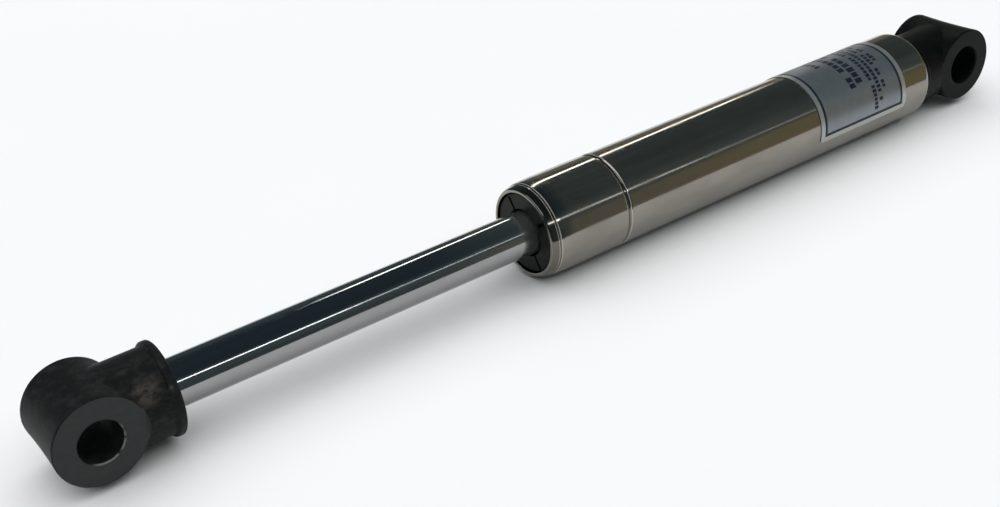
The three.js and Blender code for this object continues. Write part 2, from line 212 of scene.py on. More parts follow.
class Surface(Board):
    """The shader of one material, with its coordinates in millimetres."""

    def __init__(self, material: bpy.types.Material) -> None:
        """Empty the material's tree and put a Principled shader in it."""
        material.use_nodes = True
        super().__init__(material.node_tree)
        self.tree.nodes.clear()
        self.shader = self.node("ShaderNodeBsdfPrincipled")
        output = self.node("ShaderNodeOutputMaterial")
        self.tree.links.new(self.shader.outputs[0], output.inputs["Surface"])
        place = self.wire("ShaderNodeTexCoord", output="Object")
        self.point = self.scaled(place, (1 / MM,) * 3)
        self.x, self.y, self.z = self.split(self.point)
        self.radius = self.across(self.y, self.z)
        self.angle = self.y.math("ARCTAN2", self.z)

    def scaled(self, vector: Wire, factors: tuple[float, float, float]) -> Wire:
        """Return a vector times three factors."""
        return self.wire("ShaderNodeVectorMath", {"operation": "MULTIPLY"}, {0: vector, 1: factors})

    def noise(self, vector: Wire, scale: float, detail: float = 2.0, roughness: float = 0.5) -> Wire:
        """Return noise from 0 to 1 whose grains are about 1/scale across."""
        sizes = {"Vector": vector, "Scale": scale, "Detail": detail, "Roughness": roughness}
        return self.wire("ShaderNodeTexNoise", None, sizes)

    @staticmethod
    def across(first: Wire, second: Wire) -> Wire:
        """Return the length of two offsets at right angles."""
        return (first * first + second * second).math("SQRT")

    def gap(self, x: float, y: float, z: float) -> Wire:
        """Return the distance to a point, in millimetres."""
        ends = {0: self.point, 1: (x, y, z)}
        return self.wire("ShaderNodeVectorMath", {"operation": "DISTANCE"}, ends, "Value")

    def specks(self, vector: Wire, scale: float, size: float) -> Wire:
        """Return a mask of scattered round specks.

        Args:
            vector: the coordinates.
            scale: how many cells there are to a unit.
            size: how far from a cell's centre a speck reaches, in cells.

        Returns:
            A mask that is 1 on the specks.
        """
        distance = self.wire("ShaderNodeTexVoronoi", None, {"Vector": vector, "Scale": scale}, "Distance")
        return distance.step(size, size * 0.6)

    def set(self, **values: Wire | float | tuple) -> None:
        """Set or link the shader's sockets, with _ for a space in their names."""
        for name, value in values.items():
            socket = self.shader.inputs[name.replace("_", " ")]
            if isinstance(value, Wire):
                self.tree.links.new(value.socket, socket)
            elif isinstance(value, tuple):
                socket.default_value = (*value, 1.0)
            else:
                socket.default_value = value

    def bump(self, height: Wire, depth: float, strength: float = 1.0) -> None:
        """Feed the shader's normal from a height.

        Args:
            height: the height, from 0 to 1.
            depth: what a height of 1 stands for, in millimetres.
            strength: how much of the bump shows.
        """
        sizes = {"Height": height, "Distance": depth * MM, "Strength": strength}
        self.set(Normal=self.wire("ShaderNodeBump", None, sizes))


@dataclass(frozen=True)
class Finish:
    """One finish: its name, the record's slot and how its shader is made."""

    name: str
    slot: Slot

    def material(self) -> bpy.types.Material:
        """Return the finish's material, made once."""
        made = bpy.data.materials.get(self.name)
        if made is None:
            made = bpy.data.materials.new(self.name)
            self.shade(Surface(made))
        return made

    def shade(self, surface: Surface) -> None:
        """Wire the shader; each finish has its own way."""
        raise NotImplementedError


@dataclass(frozen=True)
class PolishedMetal(Finish):
    """A polished metal with fine lines along or round the strut."""

    color: tuple[float, float, float] = (0.5, 0.5, 0.5)
    stain: tuple[float, float, float] = (0.4, 0.38, 0.34)
    roughness: float = 0.08
    haze: float = 0.1
    line_depth: float = 0.0006
    along: bool = True
    # bright bands get a painted highlight in the pale tone below
    bright: tuple[tuple[float, float], ...] = ()
    # dark bands get painted shade in the dark tone below
    dark: tuple[tuple[float, float], ...] = ()
    filmed: tuple[tuple[float, float], ...] = ()
    # pale tone of the painted highlights on the bright bands
    highlight_and_wear: tuple[float, float, float] = (0.5, 0.48, 0.44)
    # dark tone of the painted shade on the dark bands
    painted_band_shade: tuple[float, float, float] = (0.1, 0.092, 0.078)

    @staticmethod
    def _bands(surface: Surface, bands: tuple[tuple[float, float], ...], soft: float) -> Wire | float:
        """Return the mask of some bands round the strut, each from one x to another."""
        total = 0.0
        for start, end in bands:
            total = surface.x.step(start - soft, start) * surface.x.step(end + soft, end) + total
        return total

    def shade(self, surface: Surface) -> None:
        """Wire drawing lines, handling haze, small scuffs, a faint stain and the rolled bands: painted
        highlights on the bright ones, painted shade on the dark ones.
        """
        stretch = (0.02, 7.0, 7.0) if self.along else (14.0, 0.4, 0.4)
        lines = surface.noise(surface.scaled(surface.point, stretch), 1.0, 4.0, 0.7)
        broad = surface.noise(surface.scaled(surface.point, (0.35, 1.0, 1.0)), 0.22, 3.0, 0.6)
        scuff_place = surface.scaled(surface.point, (0.5, 2.6, 2.6))
        scuffs = surface.noise(scuff_place, 1.6, 5.0, 0.72).step(0.6, 0.78)
        haze = broad.step(0.42, 0.72) * self.haze + scuffs * (self.haze * 0.9)
        shade = broad.step(0.3, 0.75) * 0.5 + scuffs * 0.25
        tone = surface.mix(shade, self.color, self.stain)
        # painted shade: the dark bands are darkened
        groove = self._bands(surface, self.dark, 0.15)
        # painted highlight: the bright bands are pale and less metallic
        painted_edge_highlight = self._bands(surface, self.bright, 0.04)
        film = self._bands(surface, self.filmed, 1.2)
        tone = surface.mix(groove * 0.7, tone, self.painted_band_shade)
        tone = surface.mix(painted_edge_highlight, tone, self.highlight_and_wear)
        surface.set(
            Metallic=1.0 - film * 0.1 - painted_edge_highlight * 0.6,
            Base_Color=tone,
            Roughness=haze + lines * (self.roughness * 0.5) + film * 0.12 + self.roughness * 0.75,
        )
        surface.bump(lines + scuffs * 0.6, self.line_depth)


@dataclass(frozen=True)
class TurnedMetal(Finish):
    """A turned metal with rings round the strut's axis."""

    color: tuple[float, float, float] = (0.5, 0.5, 0.5)
    dull: tuple[float, float, float] = (0.3, 0.3, 0.3)
    roughness: float = 0.3

    def shade(self, surface: Surface) -> None:
        """Wire tool rings, dull patches and small pits."""
        across = surface.combine(surface.x * 16.0, surface.radius * 16.0, surface.angle * 0.3)
        rings = surface.noise(across, 1.0, 3.0, 0.6)
        patches = surface.noise(surface.point, 0.35, 3.0)
        pits = surface.specks(surface.point, 0.9, 0.12)
        surface.set(
            Metallic=1.0,
            Base_Color=surface.mix(patches.step(0.35, 0.7) * 0.8 + pits * 0.2, self.color, self.dull),
            Roughness=rings * 0.12 + patches * 0.15 + self.roughness * 0.7,
        )
        surface.bump(rings - pits * 0.8, 0.004)


@dataclass(frozen=True)
class MouldedPlastic(Finish):
    """A black moulded plastic with a satin grain and flow marks.

    An eye's finish also has faced, the distance of its flat faces from the strut's middle plane (the faces
    get painted light), and the places of pale marks on its neck, each with how far its mark reaches; these
    marks are partly dust and partly a painted highlight.
    """

    color: tuple[float, float, float] = (0.0052, 0.006, 0.006)
    wear_and_face_light_tone: tuple[float, float, float] = (0.042, 0.042, 0.043)
    roughness: float = 0.5
    grain: float = 0.006
    faced: float = 0.0
    middle: float = (TUBE_EYE_X - ROD_EYE_X) / 2
    face_radius: float = 9.4
    rim_radius: float = 4.72
    bore_rim_highlight: tuple[float, float, float] = (0.2, 0.2, 0.175)
    neck_dust_and_sheen: tuple[float, float, float] = (0.056, 0.05, 0.044)
    neck_dust_and_sheen_spots: tuple[tuple[float, float, float, float], ...] = ()

    def shade(self, surface: Surface) -> None:
        """Wire the grain, flow marks, fine scratches and pale specks; on an eye also painted light on its
        flat faces and its bore's rim, and pale neck marks of dust and painted highlight.
        """
        grain = surface.noise(surface.point, 5.5, 3.0, 0.6)
        flow = surface.noise(surface.scaled(surface.point, (0.7, 1.0, 1.2)), 0.6, 5.0, 0.68)
        scratch_place = surface.scaled(surface.point, (0.7, 5.0, 3.5))
        scratches = surface.noise(scratch_place, 1.3, 3.0, 0.7).step(0.66, 0.76)
        specks = surface.specks(surface.point, 0.55, 0.09)
        wear_and_face_light = flow.step(0.42, 0.74) * 0.36 + scratches * 0.35 + specks * 0.6 + grain * 0.1
        roughness = flow * 0.16 + grain * 0.1 + self.roughness - 0.13
        flat, rim = self._face(surface, flow)
        # painted light: the flat faces are lightened towards the pale tone, as if lit from the front
        wear_and_face_light = (wear_and_face_light * (1 - flat * 0.5) + flat * 0.88).math("MINIMUM", 1.0)
        roughness = roughness + flat * 0.14
        tone = surface.mix(wear_and_face_light, self.color, self.wear_and_face_light_tone)
        # painted highlight: a pale arc on the low side of the bore's rim
        tone = surface.mix(rim * 0.8, tone, self.bore_rim_highlight)
        # pale neck patches, partly dust and partly a painted highlight
        for x, y, z, reach in self.neck_dust_and_sheen_spots:
            near = surface.gap(x, y, z).step(reach, reach * 0.15)
            tone = surface.mix(near * flow.step(0.3, 0.62), tone, self.neck_dust_and_sheen)
        surface.set(
            Base_Color=tone,
            Roughness=roughness,
            Specular_IOR_Level=0.1,
        )
        surface.bump(grain + flow * 0.7 - scratches * 0.4, self.grain)

    def _face(self, surface: Surface, flow: Wire) -> tuple[Wire, Wire]:
        """Return the masks of an eye's flat faces, lightened as painted light, and of the painted highlight
        on the low side of its bore's rim.

        Args:
            surface: the eye's surface.
            flow: the flow marks, which break up the painted highlight on the rim.

        Returns:
            The two masks, both empty on a piece that isn't an eye.
        """
        if not self.faced:
            nothing = surface.x * 0.0
            return nothing, nothing
        from_middle = abs(surface.x + self.middle) - self.middle
        from_pin = surface.across(from_middle, surface.z)
        side = abs(surface.y)
        # painted light: the mask of the flat faces
        flat = side.step(self.faced - 0.13, self.faced - 0.02)
        flat = flat * from_pin.step(self.face_radius + 0.1, self.face_radius - 0.1)
        # painted highlight: the mask of the bore's rim on its low side
        rim = side.step(self.faced - 0.36, self.faced - 0.26)
        rim = rim * from_pin.step(self.rim_radius + 0.04, self.rim_radius - 0.04)
        low_side = (from_middle + surface.z).step(-0.5, -3.5)
        return flat, rim * flow.step(0.38, 0.5) * low_side


@dataclass(frozen=True)
class SealRubber(Finish):
    """A black rubber with a bloom of dust."""

    def shade(self, surface: Surface) -> None:
        """Wire the bloom and a fine grain."""
        bloom = surface.noise(surface.point, 0.7, 4.0, 0.6)
        grain = surface.noise(surface.point, 9.0, 2.0)
        surface.set(
            Base_Color=surface.mix(bloom.step(0.4, 0.75), (0.012, 0.012, 0.013), (0.035, 0.035, 0.034)),
            Roughness=bloom * 0.15 + 0.68,
        )
        surface.bump(grain, 0.01)


@dataclass(frozen=True)
class PrintRow:
    """One row of printed blocks: where it runs and how large its blocks are, in millimetres."""

    along: float
    half_height: float
    pitch: float
    first: float
    last: float


@dataclass(frozen=True)
class PrintedFoil(Finish):
    """The label: satin foil with a pale margin, a dark outline and rows of plain blocks."""

    low: float
    high: float
    middle_angle: float
    half_arc: float
    wrap_radius: float
    margin: float = 1.3
    line: float = 0.75
    face: tuple[float, float, float] = (0.223, 0.245, 0.268)
    edge: tuple[float, float, float] = (0.42, 0.44, 0.43)
    ink: tuple[float, float, float] = (0.006, 0.009, 0.022)
    rows: tuple[PrintRow, ...] = (
        PrintRow(9.6, 0.72, 1.05, -3.0, 6.4),
        PrintRow(7.9, 0.72, 1.05, -10.0, 11.2),
        PrintRow(6.1, 0.72, 1.05, -12.8, 10.6),
        PrintRow(4.3, 0.72, 1.05, -14.6, 11.8),
        PrintRow(0.9, 1.15, 1.7, -6.8, 9.4),
        PrintRow(-1.7, 1.15, 1.65, -7.5, 10.2),
        PrintRow(-5.6, 0.9, 1.3, 1.7, 12.0),
    )

    def shade(self, surface: Surface) -> None:
        """Wire the margin, the outline, the blocks, the foil's mottle and its handling marks."""
        middle = (self.low + self.high) / 2
        half = (self.high - self.low) / 2
        along = surface.x - middle
        turn = self._turn(surface)
        around = turn * self.wrap_radius
        inside = self._inside(along, around, half - self.margin, self.half_arc - self.margin)
        wider = self.margin + self.line
        inner = self._inside(along, around, half - wider, self.half_arc - wider)
        outline = inside - inner
        print_mask = (outline + self._print(surface, along, around)).math("MINIMUM", 1.0)
        mottle = surface.noise(surface.point, 0.5, 3.0)
        fine = surface.noise(surface.point, 6.0, 3.0)
        scuffs = surface.noise(surface.scaled(surface.point, (0.6, 1.8, 1.8)), 0.9, 4.0, 0.7).step(0.62, 0.8)
        foil = surface.mix(inner, self.edge, self.face)
        highlight_and_wear = surface.mix(mottle.step(0.3, 0.8) * 0.3 + scuffs * 0.25, foil, (0.31, 0.33, 0.35))
        surface.set(
            Base_Color=surface.mix(print_mask * (1 - scuffs * 0.25), highlight_and_wear, self.ink),
            Metallic=(1 - print_mask) * 0.85,
            Roughness=mottle * 0.1 + fine * 0.06 + 0.3,
            Specular_IOR_Level=0.2,
        )
        surface.bump(fine + print_mask * 0.5 + scuffs * 0.5, 0.002)

    def _turn(self, surface: Surface) -> Wire:
        """Return the turn from the label's middle, in radians, from -pi to pi."""
        turn = self.middle_angle + surface.angle
        return turn.math("WRAP", math.pi, -math.pi)

    @staticmethod
    def _inside(along: Wire, around: Wire, half_x: float, half_s: float) -> Wire:
        """Return a soft mask of a rectangle centred on the label."""
        soft = 0.04
        reach_x = abs(along).step(half_x + soft, half_x - soft)
        reach_s = abs(around).step(half_s + soft, half_s - soft)
        return reach_x * reach_s

    def _print(self, surface: Surface, along: Wire, around: Wire) -> Wire:
        """Return the mask of the printed rows.

        Args:
            surface: the label's surface.
            along: millimetres along the strut from the label's middle.
            around: millimetres round the label from its middle.

        Returns:
            The mask.
        """
        total = 0.0
        for row in self.rows:
            reach = around.step(row.first - 0.05, row.first + 0.05)
            reach = reach * around.step(row.last + 0.05, row.last - 0.05)
            up = (along - row.along) / row.half_height
            total = reach * self._blocks(surface, up, (around - row.first) / row.pitch, row.along) + total
        return total

    @staticmethod
    def _blocks(surface: Surface, up: Wire, across: Wire, seed: float) -> Wire:
        """Return one row of plain blocks of random widths and heights, with gaps between groups.

        Args:
            surface: the label's surface.
            up: the height in the row, from -1 to 1.
            across: the place along the row, one block to a unit.
            seed: what makes this row's blocks differ from another's.

        Returns:
            The mask.
        """
        spot = surface.combine(across.math("FLOOR"), seed, 0.0)
        first, second, third = surface.split(
            surface.wire("ShaderNodeTexWhiteNoise", {"noise_dimensions": "3D"}, {"Vector": spot}, "Color")
        )
        width = first * 0.1 + 0.34
        height = second * 0.3 + 0.66
        wide = (abs(across.math("FRACT") - 0.47) - width).step(0.02, -0.02)
        tall = (abs(up) - height).step(0.04, -0.04)
        return wide * tall * third.step(0.13, 0.15)


def bands(origin: float, *ends: tuple[float, float]) -> tuple[tuple[float, float], ...]:
    """Return bands along the strut whose ends are given from an origin."""
    return tuple((origin + start, origin + end) for start, end in ends)


class Finishes:
    """Every finish on the strut."""

    TUBE = PolishedMetal(
        "drawn_stainless",
        Slot.TUBE,
        (0.267, 0.25, 0.221),
        (0.19, 0.174, 0.15),
        0.1,
        0.07,
        0.0006,
        # painted highlights on the lip and on the edges of the mouth's fine line and of the stop groove
        bright=(
            *bands(MOUTH_X, (-0.15, -0.02), (1.77, 1.85), (2.33, 2.43)),
            *bands(GROOVE_X, (-0.6, -0.5), (0.5, 0.6)),
        ),
        # painted shade on the mouth's slope and in the floors of its fine line and of the stop groove
        dark=(*bands(MOUTH_X, (0.2, 1.65), (1.9, 2.25)), *bands(GROOVE_X, (-0.2, 0.2))),
    )
    ROD = PolishedMetal(
        "ground_chrome",
        Slot.ROD,
        (0.31, 0.31, 0.31),
        (0.26, 0.26, 0.26),
        0.09,
        0.06,
        0.0003,
        along=False,
        filmed=bands(MOUTH_X, (-2.65, 1.85)),
    )
    ZINC = TurnedMetal("zinc_plated_steel", Slot.STEEL, (0.5, 0.51, 0.52), (0.3, 0.3, 0.29), 0.35)
    BRASS = TurnedMetal("turned_brass", Slot.BRASS, (0.62, 0.43, 0.16), (0.35, 0.22, 0.08), 0.28)
    EYE = MouldedPlastic(
        "moulded_nylon",
        Slot.NYLON,
        faced=8.5,
        # pale neck patches, partly dust and partly a painted highlight
        neck_dust_and_sheen_spots=((ROD_EYE_X + 10.3, -7.1, 5.6, 4.2), (ROD_EYE_X + 14.8, -8.4, 5.0, 0.6)),
    )
    # painted shade: the far eye's nylon is a darker copy of the near eye's
    FAR_EYE = MouldedPlastic(
        "far_eye_shaded_nylon", Slot.NYLON, (0.001, 0.0014, 0.0013), (0.009, 0.0095, 0.0095), 0.45, faced=8.5
    )
    CAP = MouldedPlastic(
        "cap_nylon", Slot.NYLON, (0.007, 0.0075, 0.0075), (0.024, 0.024, 0.023), 0.4, 0.005
    )
    ACETAL = MouldedPlastic(
        "turned_acetal", Slot.ACETAL, (0.03, 0.031, 0.033), (0.07, 0.07, 0.07), 0.4, 0.004
    )
    RUBBER = SealRubber("seal_rubber", Slot.RUBBER)


# ---- Shapes ----


@dataclass(frozen=True)
class Corner:
    """One corner of a turned profile: where it is and how far it is rounded, in millimetres."""

    x: float
    r: float
    round: float = 0.0


class Profile:
    """A turned outline whose corners are rounded by arcs, with short lands beside each arc."""

    LAND = 0.12
    ARC_STEPS = 6

    def __init__(self, corners: list[Corner], closed: bool) -> None:
        """Keep the corners.

        Args:
            corners: the outline's corners in order.
            closed: whether the last corner joins the first.
        """
        self.corners = corners
        self.closed = closed

    def points(self) -> list[tuple[float, float]]:
        """Return the outline's points, in millimetres; a closed one repeats its first."""
        made: list[tuple[float, float]] = []
        count = len(self.corners)
        for i, corner in enumerate(self.corners):
            ends = not self.closed and i in (0, count - 1)
            if ends or corner.round <= 0:
                made.append((corner.x, corner.r))
            else:
                before = self.corners[i - 1]
                after = self.corners[(i + 1) % count]
                made += self._arc(before, corner, after)
        if self.closed:
            made.append(made[0])
        return self._with_lands(made)

    def _arc(self, before: Corner, corner: Corner, after: Corner) -> list[tuple[float, float]]:
        """Return the points of the arc that rounds a corner."""
        here = np.array([corner.x, corner.r])
        back = np.array([before.x, before.r]) - here
        ahead = np.array([after.x, after.r]) - here
        reach = min(corner.round, 0.49 * np.linalg.norm(back), 0.49 * np.linalg.norm(ahead))
        start = here + back / np.linalg.norm(back) * reach
        end = here + ahead / np.linalg.norm(ahead) * reach
        points = []
        for step in range(self.ARC_STEPS + 1):
            t = step / self.ARC_STEPS
            spot = (1 - t) ** 2 * start + 2 * t * (1 - t) * here + t**2 * end
            points.append((float(spot[0]), float(spot[1])))
        return points

    def _with_lands(self, points: list[tuple[float, float]]) -> list[tuple[float, float]]:
        """Add a point near each end of every long stretch, so that its shading stays straight."""
        made = [points[0]]
        for start, end in zip(points, points[1:]):
            a, b = np.array(start), np.array(end)
            length = float(np.linalg.norm(b - a))
            if length > 4 * self.LAND:
                for share in (self.LAND / length, 1 - self.LAND / length):
                    spot = a + (b - a) * share
                    made.append((float(spot[0]), float(spot[1])))
            made.append(end)
        return made


def threads(start: float, end: float, radius: float, pitch: float) -> list[Corner]:
    """Return the crests and roots of a run of thread.

    Args:
        start: where the thread starts, in millimetres.
        end: where it ends at the latest.
        radius: the radius of its crests.
        pitch: the distance between two crests.

    Returns:
        The corners of a profile.
    """
    corners = []
    turns = int((end - start) / pitch)
    for i in range(turns):
        here = start + i * pitch
        corners += [Corner(here, radius), Corner(here + pitch / 2, radius - 0.35 * pitch)]
    corners.append(Corner(start + turns * pitch, radius))
    return corners


def ring_profile(start: float, end: float, inner: float, outer: float, edge: float = 0.15) -> Profile:
    """Return the profile of a plain ring with rounded edges."""
    corners = [
        Corner(start, inner, edge),
        Corner(start, outer, edge),
        Corner(end, outer, edge),
        Corner(end, inner, edge),
    ]
    return Profile(corners, closed=True)


def grooved(middle: float, half: float, outer: float, seat: float) -> list[Corner]:
    """Return the corners of a square groove in a turned side.

    Args:
        middle: the groove's middle along the strut, in millimetres.
        half: half of its width.
        outer: the radius of the side.
        seat: the radius of the groove's floor.

    Returns:
        The four corners.
    """
    return [
        Corner(middle - half, outer, 0.1),
        Corner(middle - half, seat, 0.15),
        Corner(middle + half, seat, 0.15),
        Corner(middle + half, outer, 0.1),
    ]


def round_section(centre: float, radius: float, section: float, sides: int = 24) -> Profile:
    """Return the profile of a ring of round section."""
    corners = []
    for i in range(sides):
        angle = 2 * math.pi * i / sides
        corners.append(Corner(centre - section * math.cos(angle), radius + section * math.sin(angle)))
    return Profile(corners, closed=True)


def placed(name: str, mesh: bpy.types.Mesh) -> bpy.types.Object:
    """Put a mesh in the scene at the origin and return its object."""
    piece = bpy.data.objects.new(name, mesh)
    bpy.context.scene.collection.objects.link(piece)
    return piece


class Tool:
    """A Geometry Nodes tree with named inputs, run on a piece and then made plain."""

    def __init__(self, name: str, kinds: dict[str, str]) -> None:
        """Open the tree.

        Args:
            name: the tree's name.
            kinds: the kind of each input's socket, by the input's name.
        """
        self.tree = bpy.data.node_groups.new(name, "GeometryNodeTree")
        self.board = Board(self.tree)
        face = self.tree.interface
        self.inputs = {
            title: face.new_socket(title, in_out="INPUT", socket_type="NodeSocket" + kind).identifier
            for title, kind in {**kinds, "Finish": "Material"}.items()
        }
        face.new_socket("Solid", in_out="OUTPUT", socket_type="NodeSocketGeometry")
        sockets = self.board.node("NodeGroupInput").outputs
        *self.given, self.finish = (Wire(self.board, socket) for socket in list(sockets)[:-1])

    def grid(self, columns: Wire | float, rows: Wire | float) -> Wire:
        """Return a flat grid 1 m wide and high with its middle at the origin."""
        size = {"Size X": 1.0, "Size Y": 1.0, "Vertices X": columns, "Vertices Y": rows}
        return self.board.wire("GeometryNodeMeshGrid", inputs=size)

    def moved(self, geometry: Wire, place: Wire) -> Wire:
        """Return geometry with every point moved to a place of its own."""
        return self.board.wire("GeometryNodeSetPosition", inputs={"Geometry": geometry, "Position": place})

    def block(self, size: Wire, middle: Wire) -> Wire:
        """Return a block of a size about its middle."""
        made = self.board.wire("GeometryNodeMeshCube", inputs={"Size": size})
        return self.board.wire("GeometryNodeTransform", inputs={"Geometry": made, "Translation": middle})

    def repeated(self, shape: Wire, count: Wire, turn: Wire | float = 0.0) -> Wire:
        """Return copies of a shape, evenly spaced round the strut from a first turn."""
        points = self.board.wire("GeometryNodePoints", inputs={"Count": count})
        index = self.board.wire("GeometryNodeInputIndex")
        angle = self.board.combine(index * (2 * math.pi) / count + turn, 0.0, 0.0)
        parts = {"Points": points, "Instance": shape, "Rotation": angle}
        copies = self.board.wire("GeometryNodeInstanceOnPoints", inputs=parts)
        return self.board.wire("GeometryNodeRealizeInstances", inputs={"Geometry": copies})

    def joined(self, *parts: Wire) -> Wire:
        """Return several geometries as one."""
        both = self.board.node("GeometryNodeJoinGeometry")
        for part in parts:
            self.tree.links.new(part.socket, both.inputs[0])
        return Wire(self.board, both.outputs[0])

    def close(self, geometry: Wire) -> None:
        """Weld the result, make it real, give it its finish and send it out."""
        board = self.board
        parts = {"Geometry": geometry, "Distance": WELD}
        welded = board.wire("GeometryNodeMergeByDistance", inputs=parts)
        real = board.wire("GeometryNodeRealizeInstances", inputs={"Geometry": welded})
        parts = {"Geometry": real, "Material": self.finish}
        board.node("NodeGroupOutput", inputs={0: board.wire("GeometryNodeSetMaterial", inputs=parts)})

    def run(self, piece: bpy.types.Object, finish: bpy.types.Material, **values: float) -> bpy.types.Object:
        """Run the tree on a piece and make it a plain mesh.

        Args:
            piece: the piece.
            finish: the material of the result.
            values: the tree's other inputs by name.

        Returns:
            The same piece.
        """
        modifier = piece.modifiers.new(self.tree.name, "NODES")
        modifier.node_group = self.tree
        for title, value in {**values, "Finish": finish}.items():
            modifier[self.inputs[title]] = value
        return settled(piece)


class Lathe(Tool):
    """Turns a profile about the strut's axis."""

    def __init__(self) -> None:
        """Build the tree: a grid whose rows are the profile's points and whose columns go round."""
        super().__init__("turned_solid", {"Profile": "Geometry", "Facets": "Int"})
        board = self.board
        profile, facets = self.given
        rows = board.wire("GeometryNodeAttributeDomainSize", {"component": "MESH"}, {0: profile})
        place = board.wire("GeometryNodeInputPosition")
        across, down, _ = board.split(place)
        row = ((down + 0.5) * (rows - 1)).math("ROUND")
        source = {"Geometry": profile, "Value": place, "Index": row}
        spot = board.wire("GeometryNodeSampleIndex", {"data_type": "FLOAT_VECTOR"}, source)
        x, r, _ = board.split(spot)
        angle = (across + 0.5) * (2 * math.pi)
        bent = board.combine(x, angle.math("SINE") * r * -1, angle.math("COSINE") * r)
        self.close(self.moved(self.grid(facets + 1, rows), bent))

    def turn(self, name: str, profile: Profile, facets: int, finish: Finish) -> bpy.types.Object:
        """Turn a profile into a solid.

        Args:
            name: the piece's name.
            profile: its outline.
            facets: how many facets go round.
            finish: what it is made of.

        Returns:
            The piece, a plain mesh.
        """
        points = [(x * MM, r * MM, 0.0) for x, r in profile.points()]
        outline = bpy.data.meshes.new(name + "_outline")
        outline.from_pydata(points, [(i, i + 1) for i in range(len(points) - 1)], [])
        return self.run(placed(name, outline), finish.material(), Facets=facets)

    def part(self, node: str, name: str, body: Body, finish: Finish, profile: Profile, facets: int) -> None:
        """Args:
            node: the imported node.
            name: the piece's name.
            body: the body that it moves with.
            finish: what it is made of.
            profile: its outline.
            facets: how many facets go round.
        """
        declare(self.turn(name, profile, facets, finish), body, finish, node)


def settled(piece: bpy.types.Object, crease: float = 32.0) -> bpy.types.Object:
    """Turn a piece with modifiers into a plain smooth mesh whose faces point outwards.

    Args:
        piece: the piece.
        crease: edges sharper than this, in degrees, stay crisp.

    Returns:
        The same piece.
    """
    graph = bpy.context.evaluated_depsgraph_get()
    mesh = bpy.data.meshes.new_from_object(piece.evaluated_get(graph), depsgraph=graph)
    mesh.name = piece.name
    old = piece.data
    piece.modifiers.clear()
    piece.data = mesh
    bpy.data.meshes.remove(old)
    tidy = bmesh.new()
    tidy.from_mesh(mesh)
    bmesh.ops.remove_doubles(tidy, verts=tidy.verts, dist=WELD)
    flat = [face for face in tidy.faces if face.calc_area() < 1e-14]
    bmesh.ops.delete(tidy, geom=flat, context="FACES_ONLY")
    bmesh.ops.recalc_face_normals(tidy, faces=tidy.faces)
    tidy.to_mesh(mesh)
    tidy.free()
    finish = next(slot for slot in mesh.materials if slot)
    mesh.materials.clear()
    mesh.materials.append(finish)
    mesh.polygons.foreach_set("material_index", np.zeros(len(mesh.polygons), dtype=np.int32))
    mesh.shade_smooth()
    mesh.set_sharp_from_angle(angle=math.radians(crease))
    return piece


